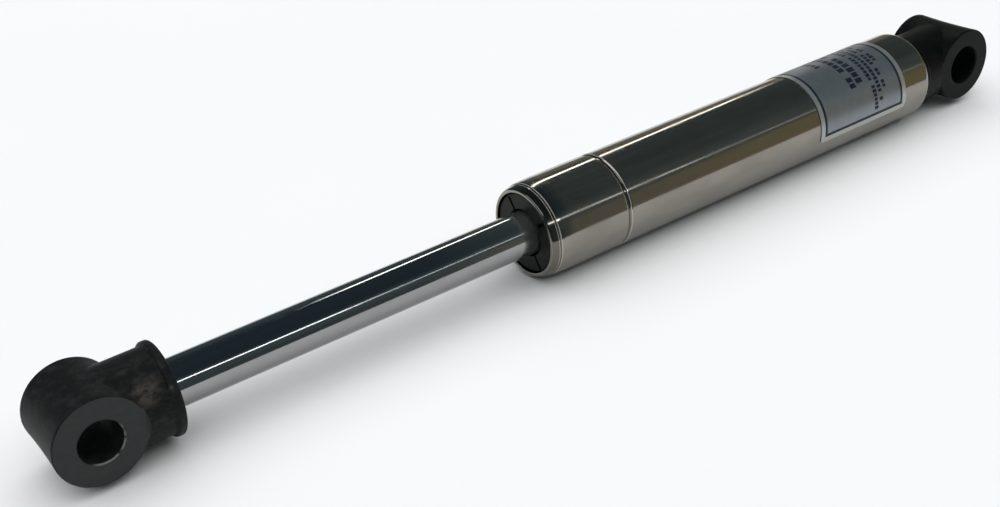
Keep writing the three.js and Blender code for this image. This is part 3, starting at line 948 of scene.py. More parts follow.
class SolidField:
    """A solid given by a signed distance, meshed on a grid and drawn onto its true surface.

    Args:
        distance: the signed distance of arrays x, y and z, in millimetres, below 0 inside.
        low: the lowest corner of the grid.
        high: the highest corner.
        pitch: the grid's step.
    """

    EDGES = [(0, 1), (2, 3), (4, 5), (6, 7), (0, 2), (1, 3), (4, 6), (5, 7), (0, 4), (1, 5), (2, 6), (3, 7)]

    def __init__(self, distance: Callable, low: tuple, high: tuple, pitch: float) -> None:
        """Keep the field and its grid."""
        self.distance = distance
        self.low = np.array(low, dtype=float)
        self.pitch = pitch
        self.shape = tuple(int(math.ceil((b - a) / pitch)) + 1 for a, b in zip(low, high))

    def mesh(self, name: str) -> bpy.types.Mesh:
        """Return the solid's surface as a mesh of quads, in metres."""
        axes = [self.low[i] + self.pitch * np.arange(self.shape[i]) for i in range(3)]
        grid = np.meshgrid(*axes, indexing="ij", sparse=True)
        values = np.asarray(self.distance(*grid), dtype=np.float32)
        inside = values < 0
        corners = [(i, j, k) for i in (0, 1) for j in (0, 1) for k in (0, 1)]
        cut = tuple(n - 1 for n in self.shape)
        window = [tuple(slice(c, c + n) for c, n in zip(corner, cut)) for corner in corners]
        filled = sum(inside[w].astype(np.int8) for w in window)
        cells = np.argwhere((filled > 0) & (filled < 8))
        number = np.full(cut, -1, dtype=np.int64)
        number[tuple(cells.T)] = np.arange(len(cells))
        spots = self._cell_points(values, cells, np.array(corners))
        spots = self._drawn_on(self.low + self.pitch * spots)
        quads = self._quads(inside, number)
        made = bpy.data.meshes.new(name)
        made.from_pydata((spots * MM).tolist(), [], quads.tolist())
        return made

    def _cell_points(self, values: np.ndarray, cells: np.ndarray, corners: np.ndarray) -> np.ndarray:
        """Return one point for each crossed cell, the mean of where its edges are crossed."""
        total = np.zeros((len(cells), 3))
        count = np.zeros(len(cells))
        held = [values[tuple((cells + corner).T)] for corner in corners]
        for first, second in self.EDGES:
            a, b = held[first], held[second]
            crossed = (a < 0) != (b < 0)
            share = np.where(crossed, a / np.where(crossed, a - b, 1.0), 0.0)[:, None]
            spot = corners[first] + share * (corners[second] - corners[first])
            total += np.where(crossed[:, None], spot, 0.0)
            count += crossed
        return cells + total / count[:, None]

    def _drawn_on(self, spots: np.ndarray, rounds: int = 4) -> np.ndarray:
        """Return points moved along the field's slope until they lie on the surface."""
        small = 0.01
        for _ in range(rounds):
            here = self.distance(*spots.T)
            slope = np.stack(
                [
                    self.distance(*(spots + small * axis).T) - self.distance(*(spots - small * axis).T)
                    for axis in np.eye(3)
                ],
                axis=1,
            ) / (2 * small)
            size = np.maximum((slope**2).sum(axis=1), 0.2)
            move = slope * (here / size)[:, None]
            spots = spots - np.clip(move, -0.3 * self.pitch, 0.3 * self.pitch)
        return spots

    def _quads(self, inside: np.ndarray, number: np.ndarray) -> np.ndarray:
        """Return a quad for each grid edge that the surface crosses, facing outwards."""
        made = []
        for axis in range(3):
            u, v = (axis + 1) % 3, (axis + 2) % 3
            here = np.moveaxis(inside, (axis, u, v), (0, 1, 2))
            cell = np.moveaxis(number, (axis, u, v), (0, 1, 2))
            low, high = here[:-1, 1:-1, 1:-1], here[1:, 1:-1, 1:-1]
            crossed = np.argwhere(low != high)
            i, j, k = crossed.T
            around = np.stack([cell[i, j, k], cell[i, j + 1, k], cell[i, j + 1, k + 1], cell[i, j, k + 1]], 1)
            outwards = low[i, j, k][:, None]
            made.append(np.where(outwards, around, around[:, ::-1]))
        return np.concatenate(made)


# ---- Placing and declaring ----


@dataclass(frozen=True)
class Span:
    """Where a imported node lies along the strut, in millimetres."""

    low: float
    high: float

    @classmethod
    def of(cls, node: str) -> "Span":
        """Return the span of a node, read from the frame."""
        low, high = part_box(node)
        return cls(low[0] / MM, high[0] / MM)

    @property
    def middle(self) -> float:
        """Return the middle of the span."""
        return (self.low + self.high) / 2


def declare(piece: bpy.types.Object, body: Body, finish: Finish, *nodes: str) -> bpy.types.Object:
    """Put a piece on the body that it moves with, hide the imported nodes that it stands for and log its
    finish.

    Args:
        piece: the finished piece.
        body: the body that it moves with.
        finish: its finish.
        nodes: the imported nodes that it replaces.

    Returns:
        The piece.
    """
    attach(piece, body.value)
    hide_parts(*nodes)
    faces = len(piece.data.polygons)
    LOG.info("%s: %d faces, %s, rides on %s", piece.name, faces, finish.name, body.value)
    return piece


# ---- Eyes ----


@dataclass
class PivotEye:
    """A moulded eye: a cross barrel, a neck with a bead at its end, a bore and an insert's seat."""

    name: str
    centre: float
    towards: float
    body: Body
    bore: float
    finish: Finish
    width: float = 17.0
    barrel_middle: float = 9.1
    barrel_flare: float = 0.2
    edge: float = 0.4
    neck: float = 9.05
    neck_edge: float = 0.2
    shank_half: float = 7.5
    neck_end: float = 16.4
    bead: float = 9.75
    bead_width: float = 1.9
    bead_edge: float = 0.6
    bead_blend: float = 0.55
    blend: float = 0.25
    chamfer: float = 0.32
    chamfer_soft: float = 0.06
    seat: tuple[float, float] = (6.6, 15.6)
    seat_radius: float = 6.1
    mouth_radius: float = 5.4
    parting_height: float = 0.05
    parting_width: float = 0.14
    pitch: float = 0.21

    def build(self) -> None:
        reach = self.barrel_middle + self.barrel_flare + 0.5
        ends = sorted((-reach * self.towards, (self.neck_end + 0.5) * self.towards))
        low = (self.centre + ends[0], -self.bead - 0.5, -self.bead - 0.5)
        high = (self.centre + ends[1], self.bead + 0.5, self.bead + 0.5)
        mesh = SolidField(self.distance, low, high, self.pitch).mesh(self.name + "_moulding")
        piece = placed(self.name + "_moulding", mesh)
        mesh.materials.append(self.finish.material())
        mesh.shade_smooth()
        declare(piece, self.body, self.finish, self.name)

    def distance(self, x: np.ndarray, y: np.ndarray, z: np.ndarray) -> np.ndarray:
        """Return the signed distance to the eye's surface."""
        along = (x - self.centre) * self.towards
        from_pin = np.sqrt(along**2 + z**2)
        from_axis = np.sqrt(y**2 + z**2)
        side = np.abs(y)
        half = self.width / 2
        barrel_radius = self.barrel_middle + self.barrel_flare * np.minimum(side / half, 1.0) ** 2
        barrel = self._rounded(from_pin - barrel_radius, side - half, self.edge)
        beyond_shank = np.abs(along - self.shank_half) - self.shank_half
        shank = self._rounded(from_axis - self.neck, beyond_shank, self.neck_edge)
        bead_middle = self.neck_end - self.bead_width / 2
        beyond_bead = np.abs(along - bead_middle) - self.bead_width / 2
        bead = self._rounded(from_axis - self.bead, beyond_bead, self.bead_edge)
        neck = self._joined(shank, bead, self.bead_blend)
        beyond_face = np.maximum(half - side, from_pin - (self.barrel_middle + self.barrel_flare))
        neck = np.maximum(neck, -beyond_face)
        body = self._joined(barrel, neck, self.blend)
        body = body - self.parting_height * np.exp(-((z / self.parting_width) ** 2))
        soft = self.chamfer_soft
        flare = np.logaddexp(0.0, (side - half + self.chamfer) / soft) * soft
        body = np.maximum(body, self.bore + flare - from_pin)
        seat_middle = sum(self.seat) / 2
        seat_half = (self.seat[1] - self.seat[0]) / 2
        seat = np.maximum(from_axis - self.seat_radius, np.abs(along - seat_middle) - seat_half)
        mouth = np.maximum(from_axis - self.mouth_radius, seat_middle - along)
        return np.maximum(body, -np.minimum(seat, mouth))

    @staticmethod
    def _rounded(out: np.ndarray, beyond: np.ndarray, edge: float) -> np.ndarray:
        """Return the distance to a turned block, rounded where its side meets its ends."""
        out, beyond = out + edge, beyond + edge
        corner = np.sqrt(np.maximum(out, 0) ** 2 + np.maximum(beyond, 0) ** 2)
        return corner + np.minimum(np.maximum(out, beyond), 0) - edge

    @staticmethod
    def _joined(first: np.ndarray, second: np.ndarray, blend: float) -> np.ndarray:
        """Return the union of two solids with a fillet where they meet."""
        overlap = np.maximum(blend - np.abs(first - second), 0) / blend
        return np.minimum(first, second) - overlap**2 * blend / 4


@dataclass
class ThreadedInsert:
    """A knurled brass insert in the neck of an eye."""

    name: str
    body: Body
    radius: float = 5.75
    bore: float = 4.1
    waist: float = 5.3
    knurls: int = 40
    tooth: float = 0.26

    def build(self, lathe: Lathe, knurling: "Knurling") -> None:
        span = Span.of(self.name)
        middle = span.middle
        corners = [
            Corner(span.low, self.bore, 0.2),
            Corner(span.low, self.radius, 0.3),
            Corner(middle - 0.9, self.radius, 0.15),
            Corner(middle - 0.6, self.waist, 0.15),
            Corner(middle + 0.6, self.waist, 0.15),
            Corner(middle + 0.9, self.radius, 0.15),
            Corner(span.high, self.radius, 0.3),
            Corner(span.high, self.bore, 0.2),
        ]
        piece = lathe.turn(self.name + "_brass", Profile(corners, True), 64, Finishes.BRASS)
        bands = ((span.low + 0.4, middle - 1.1), (middle + 1.1, span.high - 0.4))
        for start, end in bands:
            knurling.cut(piece, start, end, self)
        declare(piece, self.body, Finishes.BRASS, self.name)


class Knurling(Tool):
    """Stands straight knurls round a turned piece."""

    def __init__(self) -> None:
        """Build the tree: bars copied round the strut and joined to the blank."""
        floats = dict.fromkeys(("Start", "Length", "Radius", "Tooth"), "Float")
        super().__init__("straight_knurls", {"Blank": "Geometry", **floats, "Count": "Int"})
        board = self.board
        blank, start, length, radius, tooth, count = self.given
        size = board.combine(length, tooth, tooth)
        bar = self.block(size, board.combine(start + length * 0.5, 0.0, radius))
        self.close(self.joined(self.repeated(bar, count), blank))

    def cut(self, piece: bpy.types.Object, start: float, end: float, insert: ThreadedInsert) -> None:
        """Knurl a band of an insert.

        Args:
            piece: the turned insert.
            start: where the band starts, in millimetres.
            end: where it ends.
            insert: its sizes.
        """
        self.run(
            piece,
            piece.data.materials[0],
            Start=start * MM,
            Length=(end - start) * MM,
            Radius=insert.radius * MM,
            Tooth=insert.tooth * MM,
            Count=insert.knurls,
        )


# ---- Rod and piston ----


@dataclass
class RodAndPiston:
    """The rod with its studs, and the pieces clamped on its tail."""

    radius: float = 5.0
    stud: float = 3.85
    seat: float = 3.5
    thread: float = 3.0
    seat_bore: float = 3.75
    packing: float = 9.45
    ring_groove: float = 7.9
    groove_half: float = 1.25
    flats: float = 10.0
    nut_clearance: float = 0.25
    nut_grid: float = 0.12
    nut_reach: float = 6.2
    cone: tuple[float, float, float, float] = (0.45, 0.5, 0.866, 0.25)

    def build(self, lathe: Lathe) -> None:
        """Build the rod, the piston, its ring, the washers and the nut."""
        self._rod(lathe)
        self._washer(lathe, "piston_stop_washer", self.packing)
        self._washer(lathe, "piston_back_washer", 7.5)
        self._piston(lathe)
        self._ring(lathe)
        self._nut()

    def _rod(self, lathe: Lathe) -> None:
        """Turn the rod."""
        rod, eye = Span.of("piston_rod"), Span.of("rod_eye")
        shoulder = eye.high - 0.8
        seat_start = Span.of("piston_stop_washer").low - 0.3
        nut = Span.of("piston_nut")
        corners = [
            Corner(rod.low, 0.0),
            Corner(rod.low, self.stud, 0.5),
            *threads(rod.low + 1.0, shoulder - 0.6, self.stud, EYE_PITCH),
            Corner(shoulder, self.stud, 0.1),
            Corner(shoulder, self.radius, 0.3),
            Corner(seat_start, self.radius, 0.25),
            Corner(seat_start, self.seat, 0.1),
            Corner(nut.low - 0.1, self.seat, 0.1),
            *threads(nut.low + 0.2, rod.high - 0.8, self.thread, NUT_PITCH),
            Corner(rod.high, self.thread, 0.4),
            Corner(rod.high, 0.0),
        ]
        lathe.part("piston_rod", "polished_rod", Body.ROD, Finishes.ROD, Profile(corners, False), 160)

    def _washer(self, lathe: Lathe, node: str, radius: float) -> None:
        """Turn one of the two steel washers."""
        span = Span.of(node)
        outline = ring_profile(span.low, span.high, self.seat_bore, radius)
        lathe.part(node, node + "_steel", Body.ROD, Finishes.ZINC, outline, 80)

    def _piston(self, lathe: Lathe) -> None:
        """Turn the piston with the groove that its ring floats in."""
        span = Span.of("piston")
        corners = [
            Corner(span.low, self.seat_bore, 0.1),
            Corner(span.low, self.packing, 0.3),
            *grooved(span.middle, self.groove_half, self.packing, self.ring_groove),
            Corner(span.high, self.packing, 0.3),
            Corner(span.high, self.seat_bore, 0.1),
        ]
        lathe.part("piston", "piston_acetal", Body.ROD, Finishes.ACETAL, Profile(corners, True), 96)

    def _ring(self, lathe: Lathe) -> None:
        """Turn the piston's ring and split it."""
        span = Span.of("piston_ring")
        outline = ring_profile(span.low, span.high, self.ring_groove + 0.25, self.packing + 0.13, 0.2)
        piece = lathe.turn("piston_ring_split", outline, 120, Finishes.ACETAL)
        cutter = bpy.data.meshes.new("ring_split")
        block = bmesh.new()
        bmesh.ops.create_cube(block, size=1.0)
        place = Matrix.Translation((span.middle * MM, 0, 9 * MM)) @ Matrix.Diagonal((0.004, 0.001, 0.004, 1))
        bmesh.ops.transform(block, matrix=place, verts=block.verts)
        block.to_mesh(cutter)
        block.free()
        tool = placed("ring_split", cutter)
        split = piece.modifiers.new("split", "BOOLEAN")
        split.object = tool
        split.operation = "DIFFERENCE"
        settled(piece)
        bpy.data.objects.remove(tool)
        declare(piece, Body.RING, Finishes.ACETAL, "piston_ring")

    def _nut(self) -> None:
        """Build the hexagon nut with turned-down corners."""
        span = Span.of("piston_nut")
        bore = self.thread + self.nut_clearance
        past_flat, run, rise, drop = self.cone

        def distance(x: np.ndarray, y: np.ndarray, z: np.ndarray) -> np.ndarray:
            """Return the signed distance to the nut's surface."""
            flat = self.flats / 2
            turned = 0.5 * np.abs(y) + math.sqrt(0.75) * np.abs(z)
            sides = np.maximum(np.abs(y), turned) - flat
            ends = np.abs(x - span.middle) - (span.high - span.low) / 2
            radius = np.sqrt(y**2 + z**2)
            cone = (radius - flat - past_flat) * run + ends * rise + drop
            return np.maximum(np.maximum(np.maximum(sides, ends), cone), bore - radius)

        reach, margin = self.nut_reach, 0.4
        low = (span.low - margin, -reach, -reach)
        high = (span.high + margin, reach, reach)
        mesh = SolidField(distance, low, high, self.nut_grid).mesh("piston_nut_steel")
        piece = placed("piston_nut_steel", mesh)
        mesh.materials.append(Finishes.ZINC.material())
        mesh.shade_smooth()
        mesh.set_sharp_from_angle(angle=math.radians(28))
        declare(piece, Body.ROD, Finishes.ZINC, "piston_nut")


# ---- Tube and packing ----


@dataclass
class PressureTube:
    """The stainless tube: rolled-in mouth with a line round it, stop groove, rolled-in back."""

    radius: float = 11.0
    bore: float = 9.75
    front_lip: float = 9.35
    back_lip: float = 8.8
    groove_x: float = GROOVE_X
    groove: float = 10.62
    groove_bead: float = 9.25

    def build(self, lathe: Lathe) -> None:
        span = Span.of("tube")
        corners = [
            *self._mouth(span.low),
            Corner(self.groove_x - 0.62, self.radius, 0.2),
            Corner(self.groove_x - 0.24, self.groove, 0.2),
            Corner(self.groove_x + 0.24, self.groove, 0.2),
            Corner(self.groove_x + 0.62, self.radius, 0.2),
            Corner(span.high - 1.0, self.radius, 0.6),
            Corner(span.high - 0.12, self.radius - 0.3, 0.4),
            Corner(span.high, self.back_lip + 0.5, 0.25),
            Corner(span.high - 0.1, self.back_lip, 0.15),
            Corner(span.high - 1.1, self.back_lip, 0.2),
            Corner(span.high - 1.4, self.bore, 0.2),
            Corner(self.groove_x + 1.3, self.bore, 0.5),
            Corner(self.groove_x, self.groove_bead, 0.9),
            Corner(self.groove_x - 1.3, self.bore, 0.5),
            Corner(span.low + 1.65, self.bore, 0.2),
            Corner(span.low + 1.25, self.front_lip, 0.2),
        ]
        lathe.part("tube", "stainless_tube", Body.TUBE, Finishes.TUBE, Profile(corners, True), 224)

    def _mouth(self, front: float) -> list[Corner]:
        """Return the corners of the rolled-in mouth, with its fine line."""
        return [
            Corner(front + 0.12, self.front_lip, 0.1),
            Corner(front, self.front_lip + 0.22, 0.12),
            Corner(front + 0.05, 10.05, 0.25),
            Corner(front + 0.5, 10.3, 0.3),
            Corner(front + 1.86, 10.62, 0.05),
            Corner(front + 1.98, 10.5, 0.06),
            Corner(front + 2.2, 10.52, 0.06),
            Corner(front + 2.32, 10.76, 0.08),
            Corner(front + 3.2, 10.89, 0.6),
            Corner(front + 5.6, self.radius, 1.5),
        ]


@dataclass
class FrontPacking:
    """The slotted cap, wiper, guide, seals and washer in the mouth of the tube."""

    packing: float = 9.45
    slide: float = 5.2
    cap_hole: float = 5.5
    cap_face: float = 9.05
    slot_width: float = 0.8
    slot_depth: float = 1.2
    slot_end: float = 8.7
    slots: int = 4
    slot_turn: float = -34.8
    ring_seat: float = 8.1
    groove_half: float = 1.05
    ring_middle: float = 8.95
    ring_section: float = 0.7

    def build(self, lathe: Lathe, slotting: "Slotting") -> None:
        """Build every piece of the packing."""
        self._cap(lathe, slotting)
        self._wiper(lathe)
        self._guide(lathe)
        self._seal(lathe)
        span = Span.of("seal_backing_washer")
        outline = ring_profile(span.low, span.high, self.slide + 0.1, self.packing)
        washer = "seal_backing_washer", "backing_washer_steel"
        lathe.part(*washer, Body.TUBE, Finishes.ZINC, outline, 80)
        for node, name in (("guide_o_ring", "guide_ring"), ("base_plug_o_ring", "plug_ring")):
            outline = round_section(Span.of(node).middle, self.ring_middle, self.ring_section)
            lathe.part(node, name + "_rubber", Body.TUBE, Finishes.RUBBER, outline, 96)

    def _cap(self, lathe: Lathe, slotting: "Slotting") -> None:
        """Turn the cap and cut its slots."""
        span = Span.of("front_cap")
        corners = [
            Corner(span.low, self.cap_hole, 0.12),
            Corner(span.low, self.cap_face, 0.25),
            Corner(span.low + 0.95, self.cap_face, 0.1),
            Corner(span.low + 1.35, self.packing, 0.1),
            Corner(span.high, self.packing, 0.2),
            Corner(span.high, self.cap_hole, 0.12),
        ]
        piece = lathe.turn("slotted_cap", Profile(corners, True), 160, Finishes.CAP)
        slotting.run(
            piece,
            Finishes.CAP.material(),
            Face=span.low * MM,
            Start=(self.cap_hole - 0.5) * MM,
            Length=(self.slot_end - self.cap_hole + 0.5) * MM,
            Width=self.slot_width * MM,
            Depth=self.slot_depth * MM,
            Turn=math.radians(self.slot_turn),
            Count=self.slots,
        )
        declare(piece, Body.TUBE, Finishes.CAP, "front_cap")

    def _wiper(self, lathe: Lathe) -> None:
        """Turn the wiper with its outward lip."""
        span = Span.of("rod_wiper")
        corners = [
            Corner(span.low, self.slide, 0.1),
            Corner(span.low, self.slide + 0.4, 0.1),
            Corner(span.low + 1.1, self.slide + 1.3, 0.3),
            Corner(span.low + 0.5, self.slide + 2.0, 0.2),
            Corner(span.low + 0.5, self.packing, 0.2),
            Corner(span.high, self.packing, 0.2),
            Corner(span.high, self.slide + 0.4, 0.1),
        ]
        lathe.part("rod_wiper", "wiper_rubber", Body.TUBE, Finishes.RUBBER, Profile(corners, True), 96)

    def _guide(self, lathe: Lathe) -> None:
        """Turn the guide bush with the groove for its ring."""
        span = Span.of("guide_bush")
        groove = Span.of("guide_o_ring").middle
        corners = [
            Corner(span.low, self.slide, 0.2),
            Corner(span.low, self.packing, 0.25),
            *grooved(groove, self.groove_half, self.packing, self.ring_seat),
            Corner(span.high, self.packing, 0.25),
            Corner(span.high, self.slide, 0.2),
        ]
        lathe.part("guide_bush", "guide_bush_acetal", Body.TUBE, Finishes.ACETAL, Profile(corners, True), 96)

    def _seal(self, lathe: Lathe) -> None:
        """Turn the pressure seal, a cup with two lips."""
        span = Span.of("rod_lip_seal")
        floor = span.low + 1.8
        corners = [
            Corner(span.low, self.slide, 0.3),
            Corner(span.low, self.packing, 0.25),
            Corner(span.high, self.packing, 0.15),
            Corner(span.high, self.packing - 0.9, 0.2),
            Corner(floor, self.packing - 1.4, 0.5),
            Corner(floor, self.slide + 1.4, 0.5),
            Corner(span.high, self.slide + 0.9, 0.2),
            Corner(span.high, self.slide, 0.15),
        ]
        lathe.part("rod_lip_seal", "lip_seal_rubber", Body.TUBE, Finishes.RUBBER, Profile(corners, True), 96)


class Slotting(Tool):
    """Cuts radial slots in the face of a turned piece."""

    def __init__(self) -> None:
        """Build the tree: blocks copied round the strut and taken from the blank."""
        floats = dict.fromkeys(("Face", "Start", "Length", "Width", "Depth", "Turn"), "Float")
        super().__init__("radial_slots", {"Blank": "Geometry", **floats, "Count": "Int"})
        board = self.board
        blank, at, start, length, width, depth, turn, count = self.given
        size = board.combine(depth * 2, width, length)
        block = self.block(size, board.combine(at, 0.0, start + length * 0.5))
        parts = {"Mesh 1": blank, "Mesh 2": self.repeated(block, count, turn)}
        self.close(board.wire("GeometryNodeMeshBoolean", {"operation": "DIFFERENCE"}, parts))


@dataclass
class BasePlug:
    """The steel plug that closes the back of the tube and carries the tube eye's stud."""

    packing: float = 9.45
    ring_seat: float = 8.1
    groove_half: float = 1.05
    back: float = -18.4
    shoulder: float = -15.6
    boss: float = 5.1
    stud: float = 3.85

    def build(self, lathe: Lathe) -> None:
        span = Span.of("base_plug")
        groove = Span.of("base_plug_o_ring").middle
        corners = [
            Corner(span.low, 0.0),
            Corner(span.low, self.packing, 0.3),
            *grooved(groove, self.groove_half, self.packing, self.ring_seat),
            Corner(self.back, self.packing, 0.35),
            Corner(self.back, self.boss, 0.2),
            Corner(self.shoulder, self.boss, 0.2),
            Corner(self.shoulder, self.stud, 0.1),
            *threads(self.shoulder + 0.6, span.high - 1.0, self.stud, EYE_PITCH),
            Corner(span.high, self.stud, 0.5),
            Corner(span.high, 0.0),
        ]
        lathe.part("base_plug", "base_plug_steel", Body.TUBE, Finishes.ZINC, Profile(corners, False), 96)


@dataclass
class Label:
    """The label: a thin foil that reaches half of the way round the tube."""

    inner: float = 11.06
    thickness: float = 0.12
    low_phi: float = -76.5
    high_phi: float = 103.5
    corner: float = 0.9
    columns: int = 176
    rows: int = 90

    def build(self, wrapping: "Wrapping") -> None:
        span = Span.of("label")
        arc = math.radians(self.high_phi - self.low_phi)
        middle = math.radians(self.high_phi + self.low_phi) / 2
        radius = self.inner + self.thickness / 2
        finish = PrintedFoil(
            "printed_foil",
            Slot.FOIL,
            low=span.low,
            high=span.high,
            middle_angle=middle,
            half_arc=radius * arc / 2,
            wrap_radius=radius,
        )
        piece = wrapping.run(
            placed("foil_label", bpy.data.meshes.new("foil_label")),
            finish.material(),
            Start=span.low * MM,
            Length=(span.high - span.low) * MM,
            Radius=self.inner * MM,
            Arc=arc,
            Middle=middle,
            Corner=self.corner * MM,
            Thickness=self.thickness * MM,
            Columns=self.columns,
            Rows=self.rows,
        )
        declare(piece, Body.TUBE, finish, "label")


class Wrapping(Tool):
    """Wraps a sheet with rounded corners round the strut."""

    def __init__(self) -> None:
        """Build the tree: a grid bent round the strut, narrowed in its corners and given thickness."""
        floats = dict.fromkeys(("Start", "Length", "Radius", "Arc", "Middle", "Corner", "Thickness"), "Float")
        super().__init__("wrapped_sheet", {**floats, "Columns": "Int", "Rows": "Int"})
        board = self.board
        start, length, radius, arc, middle, corner, thickness, columns, rows = self.given
        across, up, _ = board.split(board.wire("GeometryNodeInputPosition"))
        x = (across + 0.5) * length
        from_end = x.math("MINIMUM", length - x)
        into_corner = (corner - from_end).math("MAXIMUM", 0.0)
        kept = (corner * corner - into_corner * into_corner).math("MAXIMUM", 0.0).math("SQRT")
        half_width = arc * radius * 0.5 - (corner - kept)
        angle = middle - up * 2 * half_width / radius
        place = board.combine(start + x, angle.math("SINE") * radius * -1, angle.math("COSINE") * radius)
        bent = self.moved(self.grid(columns, rows), place)
        parts = {"Mesh": bent, "Offset": board.wire("GeometryNodeInputNormal"), "Offset Scale": thickness}
        pulled = board.node("GeometryNodeExtrudeMesh", {"mode": "FACES"}, {**parts, "Individual": False})
        under = board.wire("GeometryNodeFlipFaces", inputs={"Mesh": bent})
        self.close(self.joined(Wire(board, pulled.outputs[0]), under))


# ---- Studio ----


@dataclass(frozen=True)
class Lamp:
    """A long area lamp: its ends and width in metres, how bright its face looks and what sees it."""

    name: str
    start: tuple[float, float, float]
    end: tuple[float, float, float]
    width: float
    glow: float
    tint: tuple[float, float, float] = (1.0, 1.0, 1.0)
    glossy: bool = True
    diffuse: bool = False

    def build(self) -> None:
        """Make the lamp, turned to face the strut."""
        first, last = Vector(self.start), Vector(self.end)
        middle = (first + last) / 2
        along = (last - first).normalized()
        back = (middle - along * middle.dot(along)).normalized()
        side = back.cross(along)
        light = bpy.data.lights.new(self.name, "AREA")
        light.shape = "RECTANGLE"
        light.size = (last - first).length
        light.size_y = self.width
        light.energy = self.glow * math.pi * light.size * self.width
        light.color = self.tint
        lamp = bpy.data.objects.new(self.name, light)
        turn = Matrix((along, side, back)).transposed().to_4x4()
        lamp.matrix_world = Matrix.Translation(middle) @ turn
        lamp.visible_glossy = self.glossy
        lamp.visible_diffuse = self.diffuse
        lamp.visible_camera = False
        bpy.context.scene.collection.objects.link(lamp)


def strip_lamps() -> list[Lamp]:
    """Return the slim lamp beside the camera, in three stretches that grow dimmer with distance."""
    y, z = -1.28, 0.785
    stretches = ((-0.6, 0.45, 7.0), (0.45, 1.1, 1.8), (1.1, 2.5, 0.55))
    return [
        Lamp(f"slim_near_{index}", (start, y, z), (end, y, z), 0.07, glow)
        for index, (start, end, glow) in enumerate(stretches)
    ]


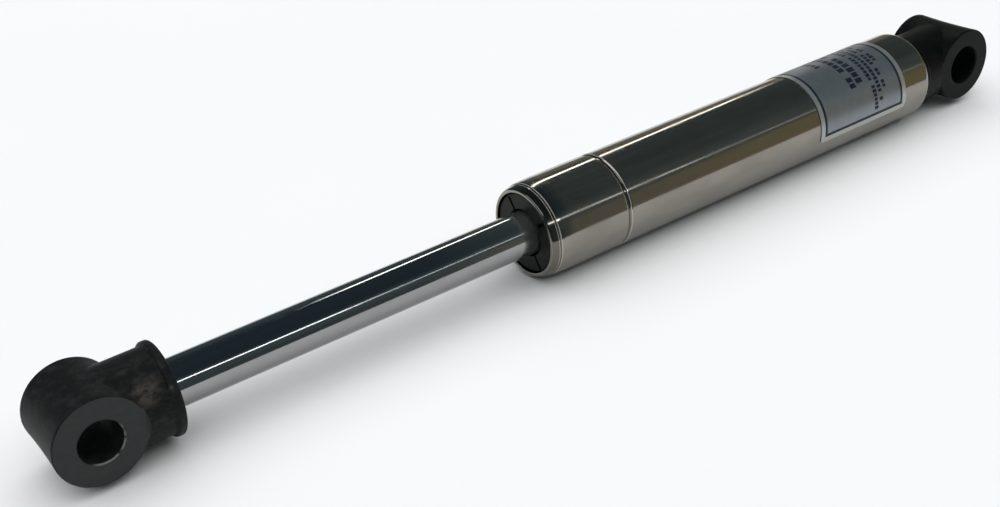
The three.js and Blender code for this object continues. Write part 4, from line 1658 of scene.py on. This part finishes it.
@dataclass
class Studio:
    """A pale floor, a dim room, the lamps and the camera, in metres."""

    floor_z: float = -0.011
    floor_half: float = 4.0
    floor_edge: float = -0.07
    camera_at: tuple[float, float, float] = (-0.28778, -0.20722, 0.14245)
    right: tuple[float, float, float] = (0.826068, -0.555408, -0.095572)
    ahead: tuple[float, float, float] = (0.444015, 0.745837, -0.496566)
    lens: float = 48.12
    shift: tuple[float, float] = (0.0795, 0.0044)
    horizon: tuple[float, float, float] = (0.245, 0.23, 0.19)
    warm_line: tuple[float, float, float] = (0.62, 0.34, 0.25)
    olive: tuple[float, float, float] = (0.31, 0.285, 0.175)
    zenith: tuple[float, float, float] = (0.135, 0.172, 0.18)
    shade: tuple[float, float, float] = (0.082, 0.108, 0.112)
    night: tuple[float, float, float] = (0.025, 0.04, 0.055)
    teal: tuple[float, float, float] = (0.08, 0.13, 0.145)
    lamps: tuple[Lamp, ...] = (
        Lamp("soft_top", (-2.5, 0.1, 1.8), (2.5, 0.1, 1.8), 5.0, 1.5, glossy=False, diffuse=True),
        *strip_lamps(),
        Lamp("slim_ceiling", (0.36, 0.88, 1.0), (2.2, 2.35, 1.0), 0.1, 7.0, (1.0, 0.97, 0.89)),
        Lamp("rim", (-0.9, -0.9, 1.25), (-0.9, 0.9, 1.25), 0.5, 1.8),
    )

    def build(self) -> None:
        """Make the floor, the room, the lamps and the camera."""
        self._floor()
        self._world()
        for lamp in self.lamps:
            lamp.build()
        self._camera()

    def _floor(self) -> None:
        """Make the floor of two sheets, with the near one kept out of reflections."""
        material = bpy.data.materials.new("pale_paper")
        surface = Surface(material)
        tone = surface.noise(surface.point, 0.01, 2.0)
        surface.set(
            Base_Color=surface.mix(tone, (0.83, 0.83, 0.83), (0.86, 0.86, 0.86)),
            Roughness=0.9,
            Specular_IOR_Level=0.0,
        )
        edge, half = self.floor_edge, self.floor_half
        for name, low, high in (("near_floor", -half, edge), ("studio_floor", edge, half)):
            mesh = bpy.data.meshes.new(name)
            corners = [(-half, low), (half, low), (half, high), (-half, high)]
            mesh.from_pydata([(x, y, self.floor_z) for x, y in corners], [], [(0, 1, 2, 3)])
            mesh.materials.append(material)
            floor = placed(name, mesh)
            floor.visible_glossy = low == edge

    def _world(self) -> None:
        """Give the room a dim tone that is warmer and lighter near the horizon."""
        world = bpy.data.worlds.new("dim_room")
        world.use_nodes = True
        world.node_tree.nodes.clear()
        board = Board(world.node_tree)
        shade = board.node("ShaderNodeBackground")
        around = board.wire("ShaderNodeTexCoord", None, None, "Generated")
        ahead, side, height = board.split(around)
        near = ahead.step(0.54, 0.44)
        far = ahead.step(0.55, 0.72) * side.step(0.1, -0.1)
        low = board.mix(far * height.step(-0.1, -0.16), self.horizon, self.warm_line)
        middle = board.mix(height.step(-0.14, -0.06) * far, low, self.olive)
        sizes = {"Vector": around, "Scale": 2.2, "Detail": 3.0}
        blotches = board.wire("ShaderNodeTexNoise", inputs=sizes)
        above = board.mix(blotches.step(0.35, 0.65), self.shade, self.zenith)
        tone = board.mix(height.step(0.24, 0.36), middle, above)
        cool = board.mix(height.step(0.75, 0.5) * blotches.step(0.3, 0.7), self.night, self.teal)
        tone = board.mix(near * 0.85, tone, cool)
        world.node_tree.links.new(tone.socket, shade.inputs["Color"])
        end = board.node("ShaderNodeOutputWorld")
        world.node_tree.links.new(shade.outputs[0], end.inputs["Surface"])
        bpy.context.scene.world = world

    def _camera(self) -> None:
        """Place the camera."""
        data = bpy.data.cameras.new("camera")
        data.sensor_width = 36.0
        data.lens = self.lens
        data.shift_x, data.shift_y = self.shift
        data.clip_start, data.clip_end = 0.01, 50.0
        camera = bpy.data.objects.new("camera", data)
        right = Vector(self.right).normalized()
        back = -Vector(self.ahead).normalized()
        up = back.cross(right)
        turn = Matrix((right, up, back)).transposed().to_4x4()
        camera.matrix_world = Matrix.Translation(self.camera_at) @ turn
        bpy.context.scene.collection.objects.link(camera)
        bpy.context.scene.camera = camera
        bpy.context.scene.view_settings.view_transform = "Standard"


def main() -> None:
    """Build the strut and the studio."""
    logging.basicConfig(level=logging.INFO, format="%(name)s %(message)s")
    lathe = Lathe()
    knurling = Knurling()
    eyes = (
        PivotEye("rod_eye", ROD_EYE_X, 1.0, Body.ROD, 4.4, Finishes.EYE),
        PivotEye("tube_eye", TUBE_EYE_X, -1.0, Body.TUBE, 4.8, Finishes.FAR_EYE),
    )
    for eye in eyes:
        eye.build()
    for name, body in (("rod_eye_insert", Body.ROD), ("tube_eye_insert", Body.TUBE)):
        ThreadedInsert(name, body).build(lathe, knurling)
    RodAndPiston().build(lathe)
    PressureTube().build(lathe)
    FrontPacking().build(lathe, Slotting())
    BasePlug().build(lathe)
    Label().build(Wrapping())
    Studio().build()


if __name__ == "__main__":
    main()
